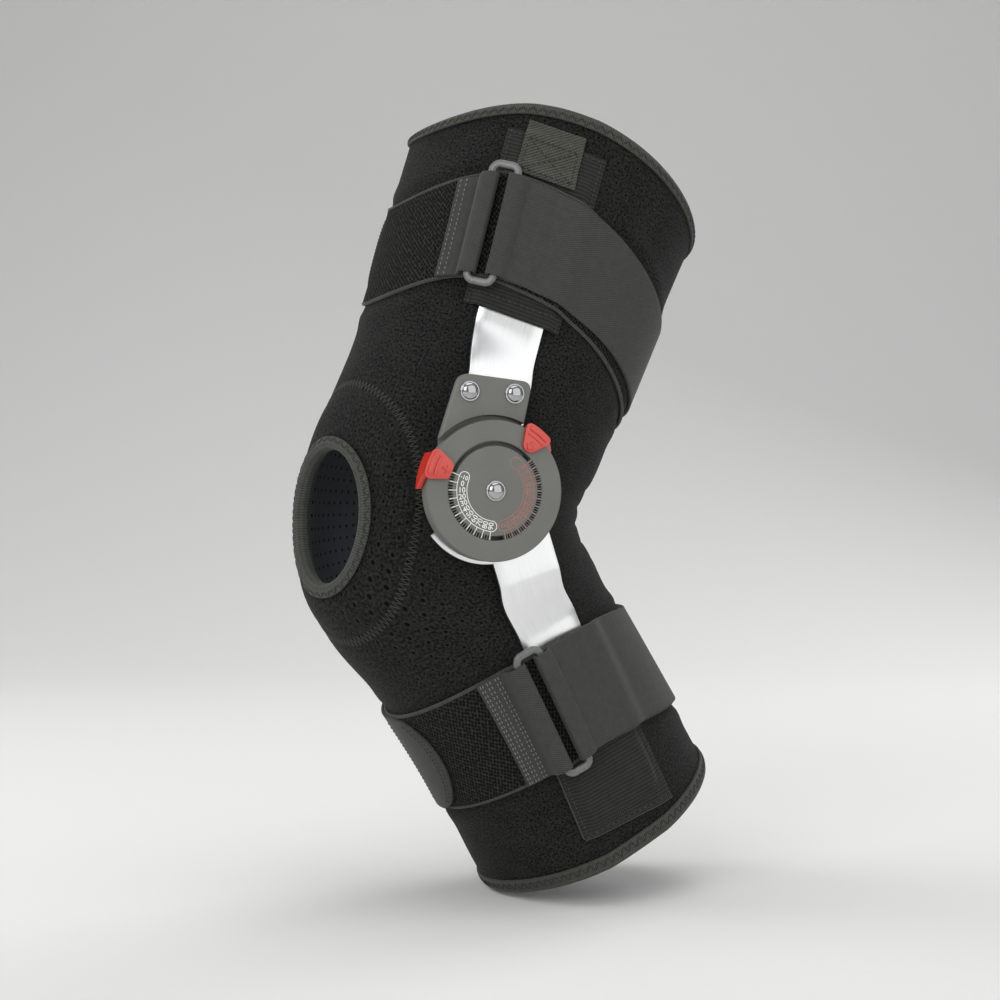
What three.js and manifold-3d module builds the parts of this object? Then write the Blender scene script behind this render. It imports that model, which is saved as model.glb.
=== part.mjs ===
// A hinged knee brace, bent as it is worn: a perforated sleeve, two strap sets and a dial hinge.
// Millimetres, +Z up. The front of the knee looks along -X and the dial hinge faces -Y.
// The origin is the middle of the knee, on the axis of the dial hinge.
import * as THREE from "three";
import { mergeVertices } from "three/addons/utils/BufferGeometryUtils.js";
import Module from "manifold-3d";

const wasm = await Module();
wasm.setup();

// The leg inside the sleeve: a bent centre line with a fan of oval sections along it.
const THIGH_LEAN = 20;
const CALF_LEAN = 30;
const KNEE_CORNER = { x: -4, z: -20 };
const BEND_RADIUS = 75;
const FAN_REACH = 75;

// Oval sections of the sleeve's outer face. run is measured along the centre line from the bend.
const SECTIONS = [
  { run: -190, front: 59.5, back: 61.5, side: 53.5 },
  { run: -150, front: 60.5, back: 62.5, side: 54.5 },
  { run: -100, front: 59, back: 61.5, side: 55.5 },
  { run: -60, front: 61, back: 60.5, side: 56.5 },
  { run: -30, front: 70, back: 62, side: 57.5 },
  { run: -10, front: 73.5, back: 61.5, side: 58.5 },
  { run: 10, front: 73, back: 62.5, side: 59.5 },
  { run: 35, front: 70, back: 64.5, side: 60.5 },
  { run: 70, front: 67, back: 66, side: 62 },
  { run: 110, front: 68.5, back: 68.5, side: 63.5 },
  { run: 160, front: 72.5, back: 72, side: 66 },
  { run: 200, front: 73.5, back: 75, side: 67 },
];

// How far the bars' line is turned round the leg, in degrees, on both sides of it.
const SLANTS = [
  { run: -190, turn: -3.5 },
  { run: -150, turn: 0 },
  { run: -60, turn: 8 },
  { run: -45, turn: 9.3 },
  { run: 0, turn: 0 },
  { run: 50, turn: 0 },
  { run: 80, turn: 3.3 },
  { run: 95, turn: 2.5 },
  { run: 140, turn: 0 },
  { run: 200, turn: -3.2 },
];

// Edges that rise to a crest at the angle "at" on each side and fall by "front" and "back".
const EDGES = {
  topRim: { crest: 196, at: -13, front: 20, back: 22 },
  bottomRim: { crest: -168.5, at: 4, front: -6.5, back: -4 },
  thighBandTop: { crest: 157.5, at: -27, front: 21, back: 36 },
  thighBandLow: { crest: 109, at: -30, front: 20, back: 33 },
  thighStrapTop: { crest: 156.2, at: -25, front: 21, back: 34 },
  thighStrapLow: { crest: 109.8, at: -22, front: 17, back: 27 },
  calfBandTop: { crest: -59, at: -10, front: 4, back: 17 },
  calfBandLow: { crest: -112, at: -10, front: 1.5, back: 17 },
  calfStrapTop: { crest: -58.6, at: -8, front: 4, back: 17 },
  calfStrapLow: { crest: -112, at: -8, front: 1.5, back: 17 },
};

// Thicknesses of the soft pieces, and the gap kept between pieces that touch.
const GAP = 0.3;
const SLEEVE_WALL = 3.5;
const POCKET_WALL = 1;
const BAND_WALL = 1.4;
const STRAP_WALL = 1.4;
const TAB_WALL = 1.2;
const ANGLE_STEP = 10;
const KNEE_ROW = 12.6;
const KNEE_ROWS_REACH = 63;
const LIMB_ROW = 33;
const BAND_ROWS = 2;

// Tape folded over the sleeve's rims and round the knee opening.
const TAPE = { wall: 1.2, cap: 1.5, top: 6, bottom: 8, knee: 4.8 };
const KNEE_OPENING = { angle: -73, run: 9, halfAngle: 24.5, halfRun: 21, steps: 24, plug: 15 };
const KNEE_TAPE_GAP = { face: 0.9, edge: 0.6 };
const KNEE_DEGREES_PER_MM = 0.95;
const KNEE_RUN_PER_MM = 0.6;

// Flat bars that carry the hinge, and the pockets that hold their ends.
const BAR = { width: 30, wall: 2, endLength: 5, endHalf: 11 };
const POCKET_FLAT = 15.5;
const POCKET_FOOT = 19.5;
const POCKET_HALF = { thigh: 22, calf: 22.5 };
const BAND_FLAT = 16;
const BAND_FOOT = 27;
const BAND_CLEAR = 2;
const BAND_ACROSS = [6, 15.5, 18, 22, 27];
const POCKET_ACROSS = [-19.5, -17.5, -15.5, -8, 0, 8, 15.5, 17.5, 19.5];
const THIGH = { at: -17.5, radius: 66, mouth: 96, end: 179, barEnd: 160, press: [64, 80] };
const CALF = { at: 2, radius: 56, mouth: -66, end: -152.5, barEnd: -140, press: [-26, -37] };
const CALF_POCKET_SLANT = 3.5;
const POCKET_CLOSE = { start: 1, length: 8 };
const PULL_TAB = { from: -13.8, to: 11.5, low: 159.5, high: 185, step: 179.3, land: 180.8, wall: 1.2 };

// Levels of the hinge stack, measured outwards from the middle of the knee.
const LEVEL = {
  lowerBar: 62,
  upperBar: 64.3,
  cover: 66.6,
  neckTop: 71.2,
  recess: 73,
  dial: 73.3,
  dialTop: 75.5,
  coverTop: 75.6,
  stopWall: 66.8,
  stop: 75.9,
  stopTop: 77.6,
};
const DISC = { radius: 31.5, bevel: 0.6, recess: 22, dial: 20, segments: 32 };
const NECK = { corners: [[-24.2, 23.8], [-14.9, 52.4], [19.3, 48.8], [15.1, 29.5]], round: 5, segments: 5 };
const NECK_GROOVE = { inner: 30.5, outer: 33.5, from: 40, to: 165, depth: 2.2, above: 1 };

// A bar's middle line passes the anchor, u along X and w along Z, leaning by "lean" degrees.
// It leaves the hinge's flat plane at the height "leave", and lies on the sleeve from the run skinTo.
const UPPER_BAR = {
  anchor: { u: 6.3, w: 52 },
  lean: 12.3,
  from: 14,
  leave: 49,
  land: 76,
  skinFrom: 64,
  skinTo: 92,
  head: 27,
};
const LOWER_BAR = {
  anchor: { u: 27.5, w: -60 },
  lean: -17.6,
  from: -14,
  leave: -38,
  land: -62,
  skinFrom: -22,
  skinTo: -54,
  head: 27,
};
const LOWER_HEAD_RIM = { inner: 25, outer: 32.9, from: 217, to: 328 };
const PLATE_SEGMENTS = 8;
const BLEND_ROWS = 5;
const POCKET_ROW = 22;

// Round-headed rivets, and the two stops that clip over the edge of the disc.
const RIVET = { radius: 4.6, height: 2.4, segments: 10, steps: 3 };
const RIVETS = [
  { name: "pivot_rivet", u: 0, w: 0, level: LEVEL.dialTop },
  { name: "neck_rivet_front", u: -10.6, w: 44.2, level: LEVEL.neckTop },
  { name: "neck_rivet_back", u: 10.6, w: 43.4, level: LEVEL.neckTop },
];
const STOP_WALL = { inner: 31.9, outer: 34.4, half: 9.5, tail: 11, tailTop: 71, lap: 0.5, segments: 3 };
const STOPS = [
  { name: "extension_stop", at: 158, half: 13.5, tip: 22.6, tipHalf: 9, tailSide: 1 },
  { name: "flexion_stop", at: 52, half: 13.5, tip: 22.6, tipHalf: 6, tailSide: -1 },
];

// Slotted plastic rings that the straps fold through, seen from low end to top end.
const RING = { width: 15.5, bar: 3.5, wall: 2.6, corner: 5.2, level: 8, segments: 3 };
const FOLD_CLEAR = 2;
const FOLD_GAP = 0.6;
const FOLD_LIFT = 0.1;
const FOLD_ROWS = 5;
const FLAP_STEP = 6;
const RINGS = {
  thigh: {
    low: { angle: -32, run: 103.5 },
    top: { angle: -32, run: 161.5 },
    tab: 23.5,
    flap: 20,
    strapEnd: 252,
  },
  calf: {
    low: { angle: -11.9, run: -117 },
    top: { angle: -14.2, run: -53.6 },
    tab: 26,
    flap: 20,
    strapEnd: 292,
  },
};

const rad = THREE.MathUtils.degToRad;
const smooth = (value, from, to) => {
  const t = THREE.MathUtils.clamp((value - from) / (to - from), 0, 1);
  return t * t * (3 - 2 * t);
};
const lerp = THREE.MathUtils.lerp;

// A smooth curve through one column of a table that never overshoots its rows.
function curveThrough(rows, column) {
  const steps = rows.slice(1).map((row, i) => (row[column] - rows[i][column]) / (row.run - rows[i].run));
  const slopes = rows.map((row, i) => {
    const before = steps[i - 1] ?? 0;
    const after = steps[i] ?? 0;
    return before * after > 0 ? (2 * before * after) / (before + after) : 0;
  });
  return (run) => {
    const last = rows.length - 2;
    let i = rows.findIndex((row, k) => k < rows.length - 1 && run <= rows[k + 1].run);
    i = i < 0 ? last : i;
    const span = rows[i + 1].run - rows[i].run;
    const t = THREE.MathUtils.clamp((run - rows[i].run) / span, 0, 1);
    const rise = rows[i + 1][column] - rows[i][column];
    const ends = rows[i][column] + rise * t * t * (3 - 2 * t);
    return ends + span * t * (1 - t) * (slopes[i] * (1 - t) - slopes[i + 1] * t);
  };
}

const frontAt = curveThrough(SECTIONS, "front");
const backAt = curveThrough(SECTIONS, "back");
const sideAt = curveThrough(SECTIONS, "side");
const slantAt = curveThrough(SLANTS, "turn");

// The point of the centre line at a run, and the turn of the section there.
function centreAt(run) {
  const turn = rad(THIGH_LEAN + CALF_LEAN);
  const half = (BEND_RADIUS * turn) / 2;
  const tangent = BEND_RADIUS * Math.tan(turn / 2);
  const calf = rad(-CALF_LEAN);
  const lean = calf + THREE.MathUtils.clamp((run + half) / BEND_RADIUS, 0, turn);
  const above = Math.max(run - half, 0);
  const below = Math.max(-run - half, 0);
  const startX = KNEE_CORNER.x - Math.sin(calf) * tangent;
  const startZ = KNEE_CORNER.z - Math.cos(calf) * tangent;
  return {
    x: startX + BEND_RADIUS * (Math.cos(calf) - Math.cos(lean)) + Math.sin(lean) * (above - below),
    z: startZ + BEND_RADIUS * (Math.sin(lean) - Math.sin(calf)) + Math.cos(lean) * (above - below),
  };
}

const tiltAt = (run) => rad(lerp(-CALF_LEAN, THIGH_LEAN, smooth(run, -FAN_REACH, FAN_REACH)));

// The distance across the brace from the middle of the nearest bar pocket, the same on both sides.
function acrossPocket(limb, angle) {
  const folded = Math.asin(Math.sin(rad(angle)));
  return (folded - rad(limb.at)) * limb.radius;
}

// A pocket closes down onto the sleeve past the end of its bar.
const closeStart = (limb) => limb.barEnd + Math.sign(limb.barEnd) * POCKET_CLOSE.start;
const closeEnd = (limb) => closeStart(limb) + Math.sign(limb.barEnd) * POCKET_CLOSE.length;

// The sleeve is flattened where a flat bar lies on it, from the bar's landing out to the rim.
function dentAt(angle, run) {
  const limb = run > 0 ? THIGH : CALF;
  const across = acrossPocket(limb, angle) / (BAR.width / 2);
  const depth = BAR.width ** 2 / 8 / limb.radius;
  return depth * Math.max(0, 1 - across ** 2) * smooth(run, ...limb.press);
}

// A point on the sleeve: angle 0 is the hinge side, 90 the back, -90 the front, 180 the inner side.
function skin(angle, run, offset) {
  const swung = rad(angle + slantAt(run) * Math.cos(rad(angle)));
  const u = Math.sin(swung);
  const v = Math.cos(swung);
  const depth = u > 0 ? backAt(run) : frontAt(run);
  const side = sideAt(run);
  const normal = new THREE.Vector2(u * side, v * depth).normalize();
  const out = offset - dentAt(angle, run);
  const a = depth * u + out * normal.x;
  const b = side * v + out * normal.y;
  const centre = centreAt(run);
  const tilt = tiltAt(run);
  return new THREE.Vector3(centre.x + a * Math.cos(tilt), -b, centre.z - a * Math.sin(tilt));
}

// An edge's run at an angle.
function edgeRun(edge, angle) {
  const u = Math.sin(rad(angle));
  const crest = Math.sin(rad(edge.at));
  if (u < crest) return edge.crest - edge.front * ((u - crest) / (1 + crest)) ** 2;
  return edge.crest - edge.back * ((u - crest) / (1 - crest)) ** 2;
}

// Inner offsets of the pocket, the band over it and what lies on the band.
function pocketUnder(limb, angle, run) {
  const across = Math.abs(acrossPocket(limb, angle));
  const open = 1 - smooth(run, closeStart(limb), closeEnd(limb));
  return GAP + (BAR.wall + GAP) * (1 - smooth(across, POCKET_FLAT, POCKET_FOOT)) * open;
}
function bandUnder(limb, angle) {
  const across = Math.abs(acrossPocket(limb, angle));
  const lift = GAP + BAR.wall + GAP + POCKET_WALL;
  return GAP + lift * (1 - smooth(across, BAND_FLAT, BAND_FOOT));
}
const bandTop = (limb, angle) => bandUnder(limb, angle) + BAND_WALL + GAP;

// Angles of the columns of a piece: even steps, with extra columns over the pockets.
function columns(limb, from, to) {
  const stations = [];
  const degrees = 180 / Math.PI / limb.radius;
  const near = BAND_ACROSS.flatMap((across) => [-across, across]);
  for (let angle = Math.ceil(from / ANGLE_STEP) * ANGLE_STEP; angle <= to; angle += ANGLE_STEP) {
    if (Math.abs(acrossPocket(limb, angle)) > BAND_FOOT + BAND_CLEAR) stations.push(angle);
  }
  for (const middle of [limb.at, 180 - limb.at]) {
    for (const across of near) stations.push(middle + across * degrees);
  }
  return stations.filter((angle) => angle > from && angle < to).sort((a, b) => a - b);
}

// A solid from a row of polygons with equal counts. A closed row joins its ends, an open one is capped.
function loft(polygons, closed) {
  const count = polygons[0].length;
  const positions = polygons.flat().flatMap((p) => [p.x, p.y, p.z]);
  const index = [];
  const rows = closed ? polygons.length : polygons.length - 1;
  for (let i = 0; i < rows; i++) {
    const here = i * count;
    const next = ((i + 1) % polygons.length) * count;
    for (let j = 0; j < count; j++) {
      const k = (j + 1) % count;
      index.push(here + j, here + k, next + k, here + j, next + k, next + j);
    }
  }
  if (!closed) {
    const end = (polygons.length - 1) * count;
    for (let j = 0; j < count / 2 - 1; j++) {
      const [a, b, c, d] = [j, j + 1, count - 2 - j, count - 1 - j];
      index.push(a, c, b, a, d, c, end + a, end + b, end + c, end + a, end + c, end + d);
    }
  }
  const geometry = new THREE.BufferGeometry();
  geometry.setAttribute("position", new THREE.Float32BufferAttribute(positions, 3));
  geometry.setIndex(index);
  return facingOut(geometry);
}

// The geometry's volume by its triangles; a negative one is turned inside out.
function facingOut(geometry) {
  const at = geometry.getAttribute("position");
  const index = geometry.index.array;
  const [a, b, c] = [new THREE.Vector3(), new THREE.Vector3(), new THREE.Vector3()];
  let volume = 0;
  for (let i = 0; i < index.length; i += 3) {
    a.fromBufferAttribute(at, index[i]);
    b.fromBufferAttribute(at, index[i + 1]);
    c.fromBufferAttribute(at, index[i + 2]);
    volume += a.dot(b.cross(c));
  }
  if (volume < 0) geometry.setIndex(Array.from(index).reverse());
  return geometry;
}

// Booleans on closed geometries.
function toSolid(geometry) {
  const bare = new THREE.BufferGeometry();
  const flat = geometry.index ? geometry.toNonIndexed() : geometry;
  bare.setAttribute("position", flat.getAttribute("position").clone());
  const merged = mergeVertices(bare, 1e-4);
  const vertProperties = new Float32Array(merged.getAttribute("position").array);
  const triVerts = new Uint32Array(merged.index.array);
  return new wasm.Manifold(new wasm.Mesh({ numProp: 3, vertProperties, triVerts }));
}
function fromSolid(solid) {
  const mesh = solid.getMesh();
  const geometry = new THREE.BufferGeometry();
  geometry.setAttribute("position", new THREE.Float32BufferAttribute(mesh.vertProperties, 3));
  geometry.setIndex(Array.from(mesh.triVerts));
  return geometry;
}
function joined(geometries) {
  return fromSolid(geometries.map(toSolid).reduce((all, solid) => all.add(solid)));
}
function cut(geometry, tools) {
  return fromSolid(tools.map(toSolid).reduce((all, solid) => all.subtract(solid), toSolid(geometry)));
}
function mirrored(geometry) {
  const copy = geometry.clone().scale(1, -1, 1);
  return copy.setIndex(Array.from(copy.index.array).reverse());
}

// A sheet on the leg: a thick patch over columns of angle, with its rows between two edges.
function sheet(angles, rowsAt, under, wall, closed) {
  const polygons = angles.map((angle) => {
    const rows = rowsAt(angle);
    const inner = rows.map((run) => skin(angle, run, under(angle, run)));
    const outer = rows.map((run) => skin(angle, run, under(angle, run) + wall));
    return [...inner, ...outer.reverse()];
  });
  return loft(polygons, closed);
}
function evenRows(from, to, count) {
  return Array.from({ length: count + 1 }, (_, i) => lerp(from, to, i / count));
}
const ringAngles = evenRows(0, 360, 360 / ANGLE_STEP).slice(0, -1);

// The perforated sleeve with its knee opening.
function sleeveRows(angle) {
  const top = edgeRun(EDGES.topRim, angle) - TAPE.cap - GAP;
  const bottom = edgeRun(EDGES.bottomRim, angle) + TAPE.cap + GAP;
  const calfCount = Math.ceil((-KNEE_ROWS_REACH - EDGES.bottomRim.crest) / LIMB_ROW);
  const thighCount = Math.ceil((EDGES.topRim.crest - KNEE_ROWS_REACH) / LIMB_ROW);
  const calf = evenRows(bottom, -KNEE_ROWS_REACH, calfCount);
  const knee = evenRows(-KNEE_ROWS_REACH, KNEE_ROWS_REACH, (2 * KNEE_ROWS_REACH) / KNEE_ROW);
  const thigh = evenRows(KNEE_ROWS_REACH, top, thighCount);
  return [...calf.slice(0, -1), ...knee, ...thigh.slice(1)];
}

// A point beside the knee opening's edge, "beyond" millimetres outside it.
function openingPoint(turn, beyond, offset) {
  const o = KNEE_OPENING;
  const angle = o.angle + (o.halfAngle + beyond * KNEE_DEGREES_PER_MM) * Math.cos(turn);
  const run = o.run + (o.halfRun + beyond * KNEE_RUN_PER_MM) * Math.sin(turn);
  return skin(angle, run, offset);
}
const openingTurns = evenRows(0, 2 * Math.PI, KNEE_OPENING.steps).slice(0, -1);

function makeSleeve() {
  const whole = sheet(ringAngles, sleeveRows, () => -SLEEVE_WALL, SLEEVE_WALL, true);
  const positions = [];
  const index = [];
  const count = KNEE_OPENING.steps;
  for (const offset of [-KNEE_OPENING.plug, KNEE_OPENING.plug]) {
    for (const turn of openingTurns) positions.push(...openingPoint(turn, 0, offset).toArray());
    positions.push(...skin(KNEE_OPENING.angle, KNEE_OPENING.run, offset).toArray());
  }
  for (let i = 0; i < count; i++) {
    const next = (i + 1) % count;
    const lid = count + 1;
    index.push(i, next, lid + next, i, lid + next, lid + i);
    index.push(next, i, count, lid + i, lid + next, lid + count);
  }
  const plug = new THREE.BufferGeometry();
  plug.setAttribute("position", new THREE.Float32BufferAttribute(positions, 3));
  plug.setIndex(index);
  return cut(whole, [facingOut(plug)]);
}

// Tape over a rim: a U-shaped section carried round the leg, with "down" pointing into the sleeve.
function makeRimTape(edge, down, width) {
  const out = GAP + TAPE.wall;
  const inside = -SLEEVE_WALL - GAP;
  const section = [
    [GAP, width], [GAP, TAPE.cap], [inside, TAPE.cap], [inside, width],
    [inside - TAPE.wall, width], [inside - TAPE.wall, 0], [out, 0], [out, width],
  ];
  const polygons = ringAngles.map((angle) =>
    section.map(([offset, depth]) => skin(angle, edgeRun(edge, angle) + down * depth, offset)),
  );
  return loft(polygons, true);
}

function makeKneeTape() {
  const { face, edge: clear } = KNEE_TAPE_GAP;
  const edge = -clear - TAPE.wall;
  const out = face + TAPE.wall;
  const inside = -SLEEVE_WALL - face;
  const section = [
    [face, TAPE.knee], [face, -clear], [inside, -clear], [inside, TAPE.knee],
    [inside - TAPE.wall, TAPE.knee], [inside - TAPE.wall, edge], [out, edge], [out, TAPE.knee],
  ];
  const polygons = openingTurns.map((turn) =>
    section.map(([offset, beyond]) => openingPoint(turn, beyond, offset)),
  );
  return loft(polygons, true);
}

// The coarse loop bands that the straps fasten to.
function makeBand(limb, top, low) {
  const angles = columns(limb, -90 - ANGLE_STEP / 2, 270 - ANGLE_STEP / 2);
  const rows = (angle) => evenRows(edgeRun(low, angle), edgeRun(top, angle), BAND_ROWS);
  return sheet(angles, rows, (angle) => bandUnder(limb, angle), BAND_WALL, true);
}

// Bar pockets, and the pull tab sewn over the top of the upper one.
function makePocket(limb, half, slant) {
  const degrees = 180 / Math.PI / limb.radius;
  const angles = [-half, ...POCKET_ACROSS, half].map((across) => limb.at + across * degrees);
  const rows = (angle) => {
    const end = limb.end - (slant * acrossPocket(limb, angle)) / half;
    const count = Math.round(Math.abs(limb.barEnd - limb.mouth) / POCKET_ROW);
    const closing = evenRows(closeStart(limb), closeEnd(limb), 2);
    return [...evenRows(limb.mouth, limb.barEnd, count), ...closing.slice(1), end];
  };
  return sheet(angles, rows, (angle, run) => pocketUnder(limb, angle, run), POCKET_WALL, false);
}

function makePullTab() {
  const degrees = 180 / Math.PI / THIGH.radius;
  const inside = POCKET_ACROSS.filter((across) => across > PULL_TAB.from && across < PULL_TAB.to);
  const angles = [PULL_TAB.from, ...inside, PULL_TAB.to].map((across) => THIGH.at + across * degrees);
  const closing = evenRows(closeStart(THIGH), closeEnd(THIGH), 2);
  const rows = () => [PULL_TAB.low, ...closing, PULL_TAB.step, PULL_TAB.land, PULL_TAB.high];
  const under = (angle, run) =>
    run > PULL_TAB.step ? GAP : pocketUnder(THIGH, angle, run) + POCKET_WALL + GAP;
  return sheet(angles, rows, under, PULL_TAB.wall, false);
}

// The two edges of a bar: on the hinge's flat plane at a height, and on the sleeve at a run.
function hingeEdges(bar, height, level) {
  const lean = rad(bar.lean);
  const middle = bar.anchor.u + (height - bar.anchor.w) * Math.tan(lean);
  return [-BAR.width / 2, BAR.width / 2].map((across) => {
    const x = middle + across * Math.cos(lean);
    const z = height - across * Math.sin(lean);
    return new THREE.Vector3(x, -level, z);
  });
}
function skinEdges(limb, run, half) {
  const degrees = 180 / Math.PI / limb.radius;
  return [-half, half].map((across) => skin(limb.at + across * degrees, run, GAP));
}

function makeBar(limb, bar, level, head) {
  const edges = [hingeEdges(bar, bar.from, level)];
  for (const t of evenRows(0, 1, BLEND_ROWS)) {
    const flat = hingeEdges(bar, lerp(bar.leave, bar.land, t), level);
    const laid = skinEdges(limb, lerp(bar.skinFrom, bar.skinTo, t), BAR.width / 2);
    edges.push(flat.map((point, i) => point.lerp(laid[i], smooth(t, 0, 1))));
  }
  const towards = Math.sign(limb.barEnd - bar.skinTo);
  const lastFull = limb.barEnd - towards * BAR.endLength;
  const count = Math.round(Math.abs(lastFull - bar.skinTo) / POCKET_ROW);
  for (const run of evenRows(bar.skinTo, lastFull, count).slice(1)) {
    edges.push(skinEdges(limb, run, BAR.width / 2));
  }
  edges.push(skinEdges(limb, limb.barEnd, BAR.endHalf));
  const polygons = edges.map(([left, right], i) => {
    const before = edges[Math.max(i - 1, 0)];
    const after = edges[Math.min(i + 1, edges.length - 1)];
    const along = after[0].clone().add(after[1]).sub(before[0]).sub(before[1]);
    const across = right.clone().sub(left);
    const out = across.cross(along).multiplyScalar(towards).setLength(BAR.wall);
    return [left, right, right.clone().add(out), left.clone().add(out)];
  });
  return joined([loft(polygons, false), ...head]);
}

// A flat outline on the hinge plane, thickened between two levels.
function plate(shape, from, to, curveSegments = PLATE_SEGMENTS) {
  const extrusion = { depth: to - from, bevelEnabled: false, curveSegments };
  const geometry = new THREE.ExtrudeGeometry(shape, extrusion);
  return geometry.translate(0, 0, from).rotateX(Math.PI / 2);
}
function turned(points, segments) {
  const profile = points.map(([radius, level]) => new THREE.Vector2(radius, level));
  return new THREE.LatheGeometry(profile, segments).rotateX(Math.PI);
}
function sector(inner, outer, from, to) {
  const shape = new THREE.Shape();
  shape.absarc(0, 0, outer, rad(from), rad(to), false);
  shape.absarc(0, 0, inner, rad(to), rad(from), true);
  return shape;
}
function roundPlate(radius, from, to) {
  return turned([[0, from], [radius, from], [radius, to], [0, to]], DISC.segments);
}

function makeUpperBar() {
  const head = roundPlate(UPPER_BAR.head, LEVEL.upperBar, LEVEL.upperBar + BAR.wall);
  return makeBar(THIGH, UPPER_BAR, LEVEL.upperBar, [head]);
}

function makeLowerBar() {
  const top = LEVEL.lowerBar + BAR.wall;
  const { inner, outer, from, to } = LOWER_HEAD_RIM;
  const rim = plate(sector(inner, outer, from, to), LEVEL.lowerBar, top);
  const head = roundPlate(LOWER_BAR.head, LEVEL.lowerBar, top);
  return makeBar(CALF, LOWER_BAR, LEVEL.lowerBar, [head, rim]);
}

// The neck of the cover: four corners, the upper two rounded.
function neckShape() {
  const [lowLeft, topLeft, topRight, lowRight] = NECK.corners.map(([u, w]) => new THREE.Vector2(u, w));
  const toward = (from, to) => to.clone().sub(from).setLength(NECK.round).add(from);
  const shape = new THREE.Shape([toward(topLeft, topRight), toward(topRight, topLeft)]);
  const roundTo = (corner, next) => {
    const end = toward(corner, next);
    shape.quadraticCurveTo(corner.x, corner.y, end.x, end.y);
  };
  roundTo(topRight, lowRight);
  shape.lineTo(lowRight.x, lowRight.y);
  shape.lineTo(lowRight.x, 0);
  shape.lineTo(lowLeft.x, 0);
  shape.lineTo(lowLeft.x, lowLeft.y);
  const start = toward(topLeft, lowLeft);
  shape.lineTo(start.x, start.y);
  roundTo(topLeft, topRight);
  return shape;
}

// The cover of the hinge: a disc with a neck, and a recess for the dial unless it is a plain one.
function makeCover(hasDial) {
  const { radius, bevel, recess, segments } = DISC;
  const { cover, coverTop, neckTop, recess: floor } = LEVEL;
  const rim = [[0, cover], [radius - bevel, cover], [radius, cover + bevel], [radius, coverTop - bevel]];
  const dished = [[recess, coverTop], [recess, floor], [0, floor]];
  const face = hasDial ? dished : [[0, coverTop]];
  const disc = turned([...rim, [radius - bevel, coverTop], ...face], segments);
  const neck = plate(neckShape(), cover, neckTop, NECK.segments);
  const { inner, outer, from, to, depth, above } = NECK_GROOVE;
  const groove = plate(sector(inner, outer, from, to), neckTop - depth, neckTop + above);
  return joined([cut(neck, [groove]), disc]);
}

function rivetHead(u, w, level) {
  const dome = evenRows(0, 90, RIVET.steps).map((a) => [
    RIVET.radius * Math.cos(rad(a)),
    RIVET.height * Math.sin(rad(a)),
  ]);
  dome[RIVET.steps][0] = 0;
  return turned([[0, 0], ...dome], RIVET.segments).translate(u, -level, w);
}

// A stop: a fan-shaped face over the dial's rim, a wall down the disc's edge and a short tail.
function makeStop(stop) {
  const face = new THREE.Shape();
  face.absarc(0, 0, STOP_WALL.outer, rad(stop.at - stop.half), rad(stop.at + stop.half), false);
  face.absarc(0, 0, stop.tip, rad(stop.at + stop.tipHalf), rad(stop.at - stop.tipHalf), true);
  const { inner, outer, half, tail, tailTop, lap, segments } = STOP_WALL;
  const wall = sector(inner, outer, stop.at - half, stop.at + half);
  const ends = [stop.at, stop.at + stop.tailSide * (half + tail)].sort((a, b) => a - b);
  return joined([
    plate(face, LEVEL.stop, LEVEL.stopTop, segments),
    plate(wall, LEVEL.stopWall, LEVEL.stop + lap, segments),
    plate(sector(inner, outer, ...ends), LEVEL.stopWall, tailTop, segments),
  ]);
}

// Degrees of angle in a millimetre across the leg at the level of a ring.
function ringDegrees(ring) {
  const angle = (ring.low.angle + ring.top.angle) / 2;
  const run = (ring.low.run + ring.top.run) / 2;
  const [left, right] = [-0.5, 0.5].map((share) => skin(angle + share * ANGLE_STEP, run, RING.level));
  return ANGLE_STEP / left.distanceTo(right);
}

// The offset of the lower face of a ring's bar: one layer of strap lies between it and the band.
function ringSeat(limb, ring, side) {
  const middle = (ring.low.angle + ring.top.angle) / 2;
  const degrees = side * ringDegrees(ring);
  const outer = RING.width / 2;
  const under = [outer - RING.bar - STRAP_WALL, outer - RING.bar, outer];
  const tops = under.map((across) => bandTop(limb, middle + across * degrees));
  return Math.max(...tops) + STRAP_WALL + FOLD_GAP;
}

// A ring lies flat on its band; its frame runs along the slot and across it.
function makeRing(limb, ring) {
  const ends = [ring.low, ring.top];
  const bar = ((RING.width - RING.bar) / 2) * ringDegrees(ring);
  const corners = [-1, 1].map((side) =>
    ends.map(({ angle, run }) => skin(angle + side * bar, run, ringSeat(limb, ring, side))),
  );
  const [[leftLow, leftTop], [rightLow, rightTop]] = corners;
  const up = leftTop.clone().add(rightTop).sub(leftLow).sub(rightLow).multiplyScalar(0.5);
  const length = up.length();
  const out = rightLow.clone().add(rightTop).sub(leftLow).sub(leftTop).cross(up).normalize();
  up.normalize();
  const across = up.clone().cross(out);
  const middle = leftLow.clone().add(leftTop).add(rightLow).add(rightTop).multiplyScalar(0.25);
  const outline = roundedBox(RING.width, length, RING.corner, THREE.Shape);
  const slot = [RING.width, length].map((size) => size - 2 * RING.bar);
  outline.holes.push(roundedBox(...slot, RING.corner - RING.bar, THREE.Path));
  const extrusion = { depth: RING.wall, bevelEnabled: false, curveSegments: RING.segments };
  const geometry = new THREE.ExtrudeGeometry(outline, extrusion);
  return geometry.applyMatrix4(new THREE.Matrix4().makeBasis(across, up, out).setPosition(middle));
}

function roundedBox(width, height, corner, Kind) {
  const [x, y] = [width / 2, height / 2];
  const path = new Kind();
  path.absarc(x - corner, y - corner, corner, 0, Math.PI / 2, false);
  path.absarc(corner - x, y - corner, corner, Math.PI / 2, Math.PI, false);
  path.absarc(corner - x, corner - y, corner, Math.PI, 1.5 * Math.PI, false);
  path.absarc(x - corner, corner - y, corner, 1.5 * Math.PI, 2 * Math.PI, false);
  return path;
}

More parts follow.
